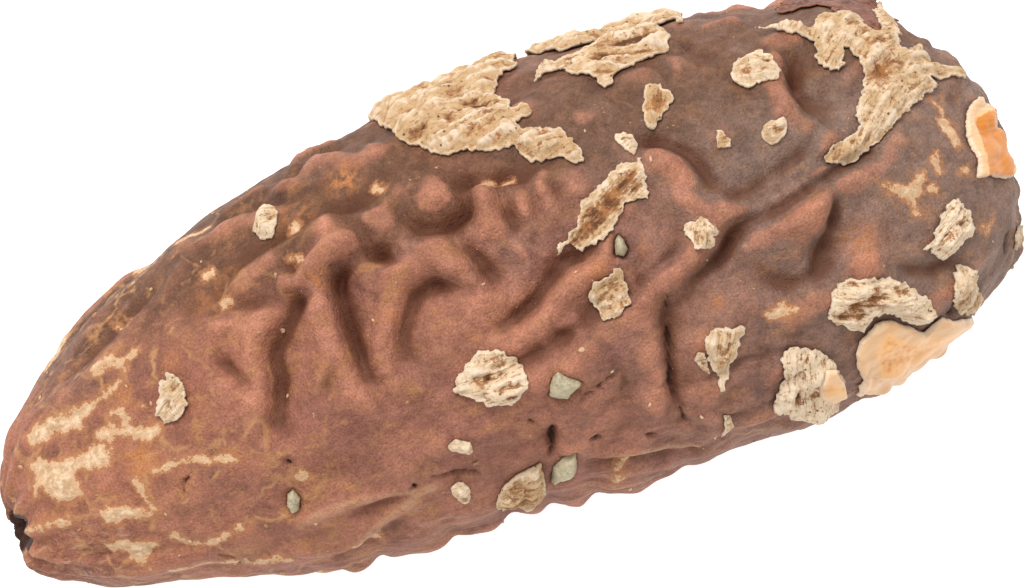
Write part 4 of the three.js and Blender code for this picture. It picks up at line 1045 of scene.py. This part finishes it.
def husk_material():
    """Dry fibrous husk: pale torn rims, tan fibres, brown porous pith and rusty stains, with painted highlights
    on raised crumples and painted shade in the recesses between them.
    """
    paint = Paint("husk_fibre")
    at, grain = paint.place(), paint.vector("grain")
    strands = paint.noise(0.16, paint.stretched(grain, (0.18, 1.0, 1.0)), 5, 0.7)
    fine, broad = paint.noise(0.00022, at, 5, 0.75), paint.noise(0.0009, at, 4, 0.6)
    tone = paint.math("ADD", paint.value("tone"), paint.math("MULTIPLY", broad, 1.2))
    colour = paint.mix(paint.step(tone, 0.5, 1.15), (0.98, 0.76, 0.53), (0.64, 0.41, 0.21))
    colour = paint.mix(paint.step(strands, 0.5, 0.64), colour, (0.48, 0.29, 0.14))
    colour = paint.mix(paint.step(fine, 0.55, 0.66), colour, (0.4, 0.205, 0.09))
    # Raised crumples of the husk are painted paler, a painted highlight.
    colour = paint.mix(paint.math("MULTIPLY", paint.value("crest"), 0.7), colour, (0.97, 0.79, 0.6))
    frayed = paint.uneven("rim", broad, 0.7)
    rim = paint.step(frayed, 0.0, 0.16)
    colour = paint.mix(paint.math("MAXIMUM", rim, 0.5), (0.95, 0.77, 0.58), colour)
    torn = paint.math("ADD", paint.math("SUBTRACT", fine, 0.5), paint.math("SUBTRACT", strands, 0.5))
    # Brown pith in the hollows. The recesses between the crumples are painted brown too, painted shade, and the
    # deepest places near black.
    pith = paint.math("ADD", paint.value("pith"), paint.math("MULTIPLY", torn, 2.6))
    colour = paint.mix(paint.step(pith, 0.3, 0.9), colour, (0.4, 0.19, 0.08))
    colour = paint.mix(paint.step(pith, 0.95, 1.5), colour, (0.13, 0.055, 0.025))
    rust = paint.math("MULTIPLY", paint.value("rust"), paint.step(fine, 0.4, 0.6))
    colour = paint.mix(paint.step(rust, 0.1, 0.9), colour, (0.47, 0.19, 0.065))
    holes = paint.add("ShaderNodeTexVoronoi", {"Vector": at, "Scale": 1700.0, "Randomness": 1.0})
    hole = paint.math("MULTIPLY", paint.step(holes, 0.16, 0.06), paint.step(broad, 0.42, 0.55))
    colour = paint.mix(hole, colour, (0.2, 0.085, 0.035))
    height = paint.math("ADD", paint.math("MULTIPLY", strands, 0.8), paint.math("MULTIPLY", fine, 1.4))
    height = paint.math("SUBTRACT", height, paint.math("MULTIPLY", hole, 0.8))
    return paint.finish(height, 0.00012, Base_Color=colour, Roughness=0.85, Specular_IOR_Level=0.25)


husk = husk_material()


def spots(flat, rows):
    """The sum of soft spots, each a place, a radius and a strength."""
    total, plain = np.zeros(len(flat)), body(share_at(flat[:, 0]), flat[:, 1] / GIRTH)
    for along, across, radius, power in rows:
        gap = np.linalg.norm(plain - on_body([(along, across)])[0], axis=1)
        total += power * hump(gap, radius)
    return total


def husk_scrap(name, outline, material, spacing=0.09, thick=0.5, curl=0.3, fibre=0.0, tone=0.3,
               hollows=(), rust=(), raggedness=0.2, hidden=False):
    """A scrap of husk that clings to the skin by its middle, with a torn rim that lifts."""
    rim = np.asarray(outline) if hidden else unrolled(outline)
    flat, faces, depth = torn_sheet(ragged_outline(rim, spacing, raggedness), spacing)
    x, y = flat.T
    turn = math.radians(fibre)
    lengthwise = x * math.cos(turn) - y * math.sin(turn)
    crosswise = x * math.sin(turn) + y * math.cos(turn)
    grain = np.stack([lengthwise, crosswise, 0 * x], -1)
    strands = noise(lengthwise / 1.6, crosswise / 0.28, 2.2)
    lumps = 0.6 * noise(x / 0.9, y / 0.9, 5.1) + 0.4 * noise(x / 0.4, y / 0.4, 2.4)
    crumpled = 0.7 * noise(x / 0.35, y / 0.35, 7.7) + 0.5 * noise(x / 0.17, y / 0.17, 4.2)
    under = 0.02 + curl * hump(depth, 0.4) * (0.5 + 0.5 * noise(x / 0.9, y / 0.9, 9.4))
    profile = eased(depth, 0, 0.35 + 0.7 * thick)
    sunk = spots(flat, hollows)
    crumpled = (0.2 * strands + 0.14 * crumpled) * eased(depth, 0, 0.3)
    over = under + 0.15 + thick * profile * (0.85 + 0.35 * lumps) + crumpled
    over = np.maximum(over - sunk * eased(depth, 0, 0.3), under + 0.1 + 0.5 * np.abs(crumpled))
    points, faces = shell(flat, faces, under, over)
    twice = lambda values: np.concatenate([values, values])
    made = closed_object(
        name, points, faces, material,
        rim=twice(depth), tone=np.full(2 * len(flat), tone), grain=np.vstack([grain, grain]),
        # Brown pith of the hollows, plus painted shade in the recesses between crumples.
        pith=twice(spots(flat, [(a, b, r * 0.9, 1.15 * p / (p + 0.15)) for a, b, r, p in hollows])
                   + 0.8 * eased(-crumpled, 0.02, 0.15)),
        # How far each point rises in the crumples, painted paler as a painted highlight.
        crest=twice(eased(crumpled, 0.02, 0.18)),
        rust=twice(spots(flat, [(a, b, r, 1.0) for a, b, r in rust])),
    )
    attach(made, "root")
    return made


for name, scrap in SCRAPS.items():
    made = husk_scrap(name + "_scrap", material=husk, **scrap)
    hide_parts(name)

for name, (outline, tone) in CRUMBS.items():
    middle = np.mean(outline, 0)
    husk_scrap(name, outline, husk, spacing=0.08, thick=0.38, curl=0.1, tone=tone,
               hollows=[(*middle, 0.3, 0.3)] if tone > 0.25 else [], raggedness=0.09)

places, rng = hidden_places(20, 21)
for number, (along, girth) in enumerate(places):
    turn_under = min(-girth / GIRTH, math.pi + girth / GIRTH) / math.pi
    if turn_under < 0.09 or (turn_under > 0.27 and 9 < along < 54):
        continue
    turns = np.sort(rng.uniform(0, 2 * math.pi, 11))
    reach = rng.uniform(0.7, 1.0, 11) * rng.uniform(0.6, 1.9)
    outline = np.stack([along + 1.3 * reach * np.cos(turns), girth + reach * np.sin(turns)], -1)
    husk_scrap(f"scrap_{number:02d}", outline, husk, tone=rng.uniform(0.1, 0.5), thick=0.45,
               fibre=rng.uniform(-60, 60), hidden=True)

# Remains of the fruit's scales. Two glossy amber plates of the hard outer scales stayed on the
# broad end and on the lower flank, thin and whitish where they tore. A third, small one is lifted
# onto the husk pad. Each has the outline of its amber core, and how deep the amber's colour is.
SCALES = {
    "scale_end": {
        "outline": [(59.5, 0.0), (59.9, 0.9), (60.4, 1.5), (60.9, 1.6), (61.2, 1.0), (61.3, -0.3),
                    (61.3, -1.6), (61.2, -2.8), (61.0, -3.1), (60.5, -3.0), (59.9, -2.7), (59.1, -2.6),
                    (59.4, -1.7), (59.4, -0.9)],
        "core": [(59.5, -2.9), (59.7, -1.4), (59.95, -0.3), (60.3, 0.6), (61.1, 0.7), (61.4, -0.8),
                 (61.3, -2.4), (60.7, -3.2)],
        "amber": 1.5,
    },
    "scale_window": {
        "outline": [(46.6, -10.9), (46.8, -10.2), (47.3, -9.6), (47.9, -9.7), (48.0, -10.4), (47.9, -11.0),
                    (47.2, -11.2)],
        "core": [(46.8, -10.6), (47.1, -10.0), (47.7, -10.0), (47.7, -10.7)], "amber": 0.62, "lift": 0.45,
    },
    "scale_flank": {
        "outline": [(49.2, -10.9), (49.1, -10.2), (49.3, -9.6), (49.8, -9.1), (50.4, -8.9),
                    (51.0, -8.5), (51.5, -8.4), (52.0, -8.6), (52.8, -9.2), (53.4, -9.6), (54.0, -9.3),
                    (54.6, -9.1), (55.1, -9.4), (55.6, -9.5), (56.3, -9.6), (56.0, -9.9), (55.0, -10.4),
                    (54.0, -10.8), (52.5, -11.2), (51.0, -11.6), (49.5, -11.8), (48.6, -11.7),
                    (48.9, -11.2)],
        "core": [(50.4, -9.7), (51.4, -9.0), (52.6, -9.8), (54.2, -9.8), (55.3, -9.9), (54.0, -10.5),
                 (52.0, -11.0), (50.2, -11.0)],
        "amber": 0.7,
    },
}


def scale_material():
    """Hard amber scale with a glossy face, milky and paler near its torn rim."""
    paint = Paint("scale_amber")
    at, grain = paint.place(), paint.vector("grain")
    streaks = paint.noise(0.6, paint.stretched(grain, (0.3, 1.0, 1.0)), 4)
    fine = paint.noise(0.0003, at, 3)
    amber = paint.uneven("amber", fine, 0.9)
    milky = paint.mix(paint.step(streaks, 0.3, 0.7), (0.8, 0.52, 0.3), (0.72, 0.4, 0.18))
    deep = paint.mix(paint.step(streaks, 0.3, 0.7), (0.68, 0.25, 0.025), (0.6, 0.18, 0.012))
    colour = paint.mix(paint.step(amber, 0.15, 0.6), milky, (0.88, 0.48, 0.2))
    colour = paint.mix(paint.step(amber, 0.55, 1.1), colour, deep)
    colour = paint.mix(paint.step(paint.value("rim"), 0.0, 0.15), (0.8, 0.6, 0.42), colour)
    height = paint.math("ADD", streaks, paint.math("MULTIPLY", fine, 0.3))
    return paint.finish(height, 0.00004, Base_Color=colour, Roughness=0.4, Specular_IOR_Level=0.45,
                        Coat_Weight=0.15, Coat_Roughness=0.2)


amber_scale = scale_material()
for name, scale in SCALES.items():
    flat, faces, depth = torn_sheet(ragged_outline(unrolled(scale["outline"]), 0.1, 0.06), 0.1)
    profile = np.sqrt(1 - (1 - np.clip(depth / 0.35, 0, 1)) ** 2)
    lumps = noise(*flat.T / 0.9, 4.4)
    under = 0.03 + 0.1 * hump(depth, 0.4) + scale.get("lift", 0)
    over = under + 0.08 + (0.34 + 0.03 * lumps) * profile
    points, faces = shell(flat, faces, under, over)
    seen = body(share_at(flat[:, 0]), flat[:, 1] / GIRTH)[:, :2]
    glow = scale["amber"] * eased(depth_inside(seen, scale["core"]), -0.3, 0.3)
    grain = np.stack([flat[:, 0], flat[:, 1], 0 * depth], -1)
    made = closed_object(name + "_plate", points, faces, amber_scale, rim=np.concatenate([depth, depth]),
                         amber=np.concatenate([glow, glow]), grain=np.vstack([grain, grain]))
    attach(made, "root")
    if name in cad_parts:
        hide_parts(name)


# A flap of the coat. On the far shoulder the thin dark coat tore and curled up off the seed.
def flap_material():
    paint = Paint("torn_coat")
    at = paint.place()
    broad, fine = paint.noise(0.0012, at, 4), paint.noise(0.0003, at, 4)
    colour = paint.mix(paint.step(broad, 0.35, 0.65), (0.22, 0.085, 0.055), (0.09, 0.03, 0.018))
    colour = paint.mix(paint.step(fine, 0.45, 0.7), colour, (0.3, 0.13, 0.085))
    colour = paint.mix(paint.step(paint.value("rim"), 0.0, 0.14), (0.3, 0.13, 0.08), colour)
    height = paint.math("ADD", broad, paint.math("MULTIPLY", fine, 0.6))
    return paint.finish(height, 0.0001, Base_Color=colour, Roughness=0.6, Specular_IOR_Level=0.2)


FLAP = [(52.3, 9.9), (52.6, 10.3), (53.4, 10.45), (54.6, 10.1), (55.8, 9.3), (56.4, 8.8), (57.0, 7.9),
        (56.8, 6.9), (56.3, 7.2), (55.9, 8.0), (55.0, 8.6), (54.2, 9.2), (53.0, 9.6)]
flat, faces, depth = torn_sheet(ragged_outline(unrolled(FLAP), 0.1, 0.8), 0.1)
under = 0.03 + 0.16 * hump(depth, 0.5) * (0.6 + 0.4 * noise(flat[:, 0] / 0.8, flat[:, 1] / 0.8, 3.1))
over = under + 0.1 + 0.08 * np.clip(depth / 0.3, 0, 1)
points, faces = shell(flat, faces, under, over)
made = closed_object("coat_flap", points, faces, flap_material(), rim=np.concatenate([depth, depth]))
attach(made, "root")

# Hard grains. Grey grit from the fruit sits half sunk in sockets of the coat, with painted shade round them.
def grain_material():
    paint = Paint("grit_grain")
    at = paint.place()
    broad, fine = paint.noise(0.0007, at, 4), paint.noise(0.00018, at, 3)
    colour = paint.mix(paint.step(broad, 0.35, 0.65), (0.5, 0.41, 0.25), (0.33, 0.28, 0.17))
    colour = paint.mix(paint.step(fine, 0.4, 0.7), colour, (0.53, 0.47, 0.33))
    height = paint.math("ADD", broad, fine)
    return paint.finish(height, 0.00008, Base_Color=colour, Roughness=0.6, Specular_IOR_Level=0.4)


grit = grain_material()
for name, outline in GRAINS.items():
    flat, faces, depth = torn_sheet(ragged_outline(unrolled(outline), 0.08, 0.04), 0.08)
    dome = np.sqrt(1 - (1 - np.clip(depth / max(depth.max(), 0.1), 0, 1)) ** 2)
    under = np.full(len(flat), -0.35)
    over = -0.2 + 0.62 * dome * (1 + 0.12 * noise(*flat.T / 0.3, 6.6))
    points, faces = shell(flat, faces, under, over)
    made = closed_object(name, points, faces, grit)
    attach(made, "root")

# Fine crumbs. Dust and splinters of husk cling to the coat everywhere.
def crumb_nodes(chip, material):
    """Strews copies of a chip over a mesh: Seed, Density a square metre and Largest in metres."""
    tree = bpy.data.node_groups.new("strewn_crumbs", "GeometryNodeTree")
    face = tree.interface
    face.new_socket("Geometry", in_out="INPUT", socket_type="NodeSocketGeometry")
    face.new_socket("Density", in_out="INPUT", socket_type="NodeSocketFloat")
    face.new_socket("Largest", in_out="INPUT", socket_type="NodeSocketFloat")
    face.new_socket("Seed", in_out="INPUT", socket_type="NodeSocketInt")
    face.new_socket("Geometry", in_out="OUTPUT", socket_type="NodeSocketGeometry")
    given, result = tree.nodes.new("NodeGroupInput"), tree.nodes.new("NodeGroupOutput")

    def add(kind, inputs, **settings):
        node = tree.nodes.new(kind)
        for key, value in settings.items():
            setattr(node, key, value)
        for key, value in inputs.items():
            if isinstance(value, bpy.types.NodeSocket):
                tree.links.new(value, node.inputs[key])
            else:
                node.inputs[key].default_value = value
        return node.outputs

    spread = add("GeometryNodeDistributePointsOnFaces",
                 {"Mesh": given.outputs["Geometry"], "Density": given.outputs["Density"],
                  "Seed": given.outputs["Seed"]})
    chip_mesh = add("GeometryNodeObjectInfo", {"Object": chip})["Geometry"]
    share = add("FunctionNodeRandomValue", {2: 0.0, 3: 1.0, "Seed": 3}, data_type="FLOAT")[1]
    mostly_small = add("ShaderNodeMath", {0: share, 1: 4.0}, operation="POWER")[0]
    size = add("ShaderNodeMath", {0: mostly_small, 1: given.outputs["Largest"]}, operation="MULTIPLY")[0]
    size = add("ShaderNodeMath", {0: size, 1: 0.00003}, operation="ADD")[0]
    turn = add("FunctionNodeRandomValue", {0: (0.0, 0.0, 0.0), 1: (6.28, 6.28, 6.28), "Seed": 9},
               data_type="FLOAT_VECTOR")[0]
    copies = add("GeometryNodeInstanceOnPoints",
                 {"Points": spread["Points"], "Instance": chip_mesh, "Rotation": turn, "Scale": size})
    solid = add("GeometryNodeRealizeInstances", {"Geometry": copies["Instances"]})[0]
    shown = add("GeometryNodeSetMaterial", {"Geometry": solid, "Material": material})[0]
    tree.links.new(shown, result.inputs[0])
    return tree


def dust_material():
    paint = Paint("husk_dust")
    at = paint.place()
    colour = paint.mix(paint.step(paint.noise(0.0012, at), 0.4, 0.6), (0.66, 0.44, 0.27), (0.36, 0.19, 0.09))
    return paint.finish(paint.noise(0.00006, at), 0.00002, Base_Color=colour, Roughness=0.9)


shape = bmesh.new()
bmesh.ops.create_icosphere(shape, subdivisions=1, radius=1)
for vertex in shape.verts:
    vertex.co *= 1 + 0.35 * float(noise(*(np.array(vertex.co) * 2.3 + 5)))
    vertex.co.z *= 0.6
chip_data = bpy.data.meshes.new("chip")
shape.to_mesh(chip_data)
shape.free()
chip = linked("chip", chip_data)
strewn = linked("strewn", skin.data.copy())
tree = crumb_nodes(chip, dust_material())
modifier = strewn.modifiers.new("crumbs", "NODES")
modifier.node_group = tree
sockets = {item.name: item.identifier for item in tree.interface.items_tree if item.in_out == "INPUT"}
modifier[sockets["Density"]] = 120000.0
modifier[sockets["Largest"]] = 0.00017
modifier[sockets["Seed"]] = 12
bpy.context.view_layer.update()
dressed = strewn.evaluated_get(bpy.context.evaluated_depsgraph_get())
crumb_data = bpy.data.meshes.new_from_object(dressed)
for temporary in (strewn, chip):
    bpy.data.objects.remove(temporary)
for vertex in crumb_data.vertices:
    vertex.co.z = max(vertex.co.z, 0)
crumbs = linked("husk_dust", crumb_data)
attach(crumbs, "root")
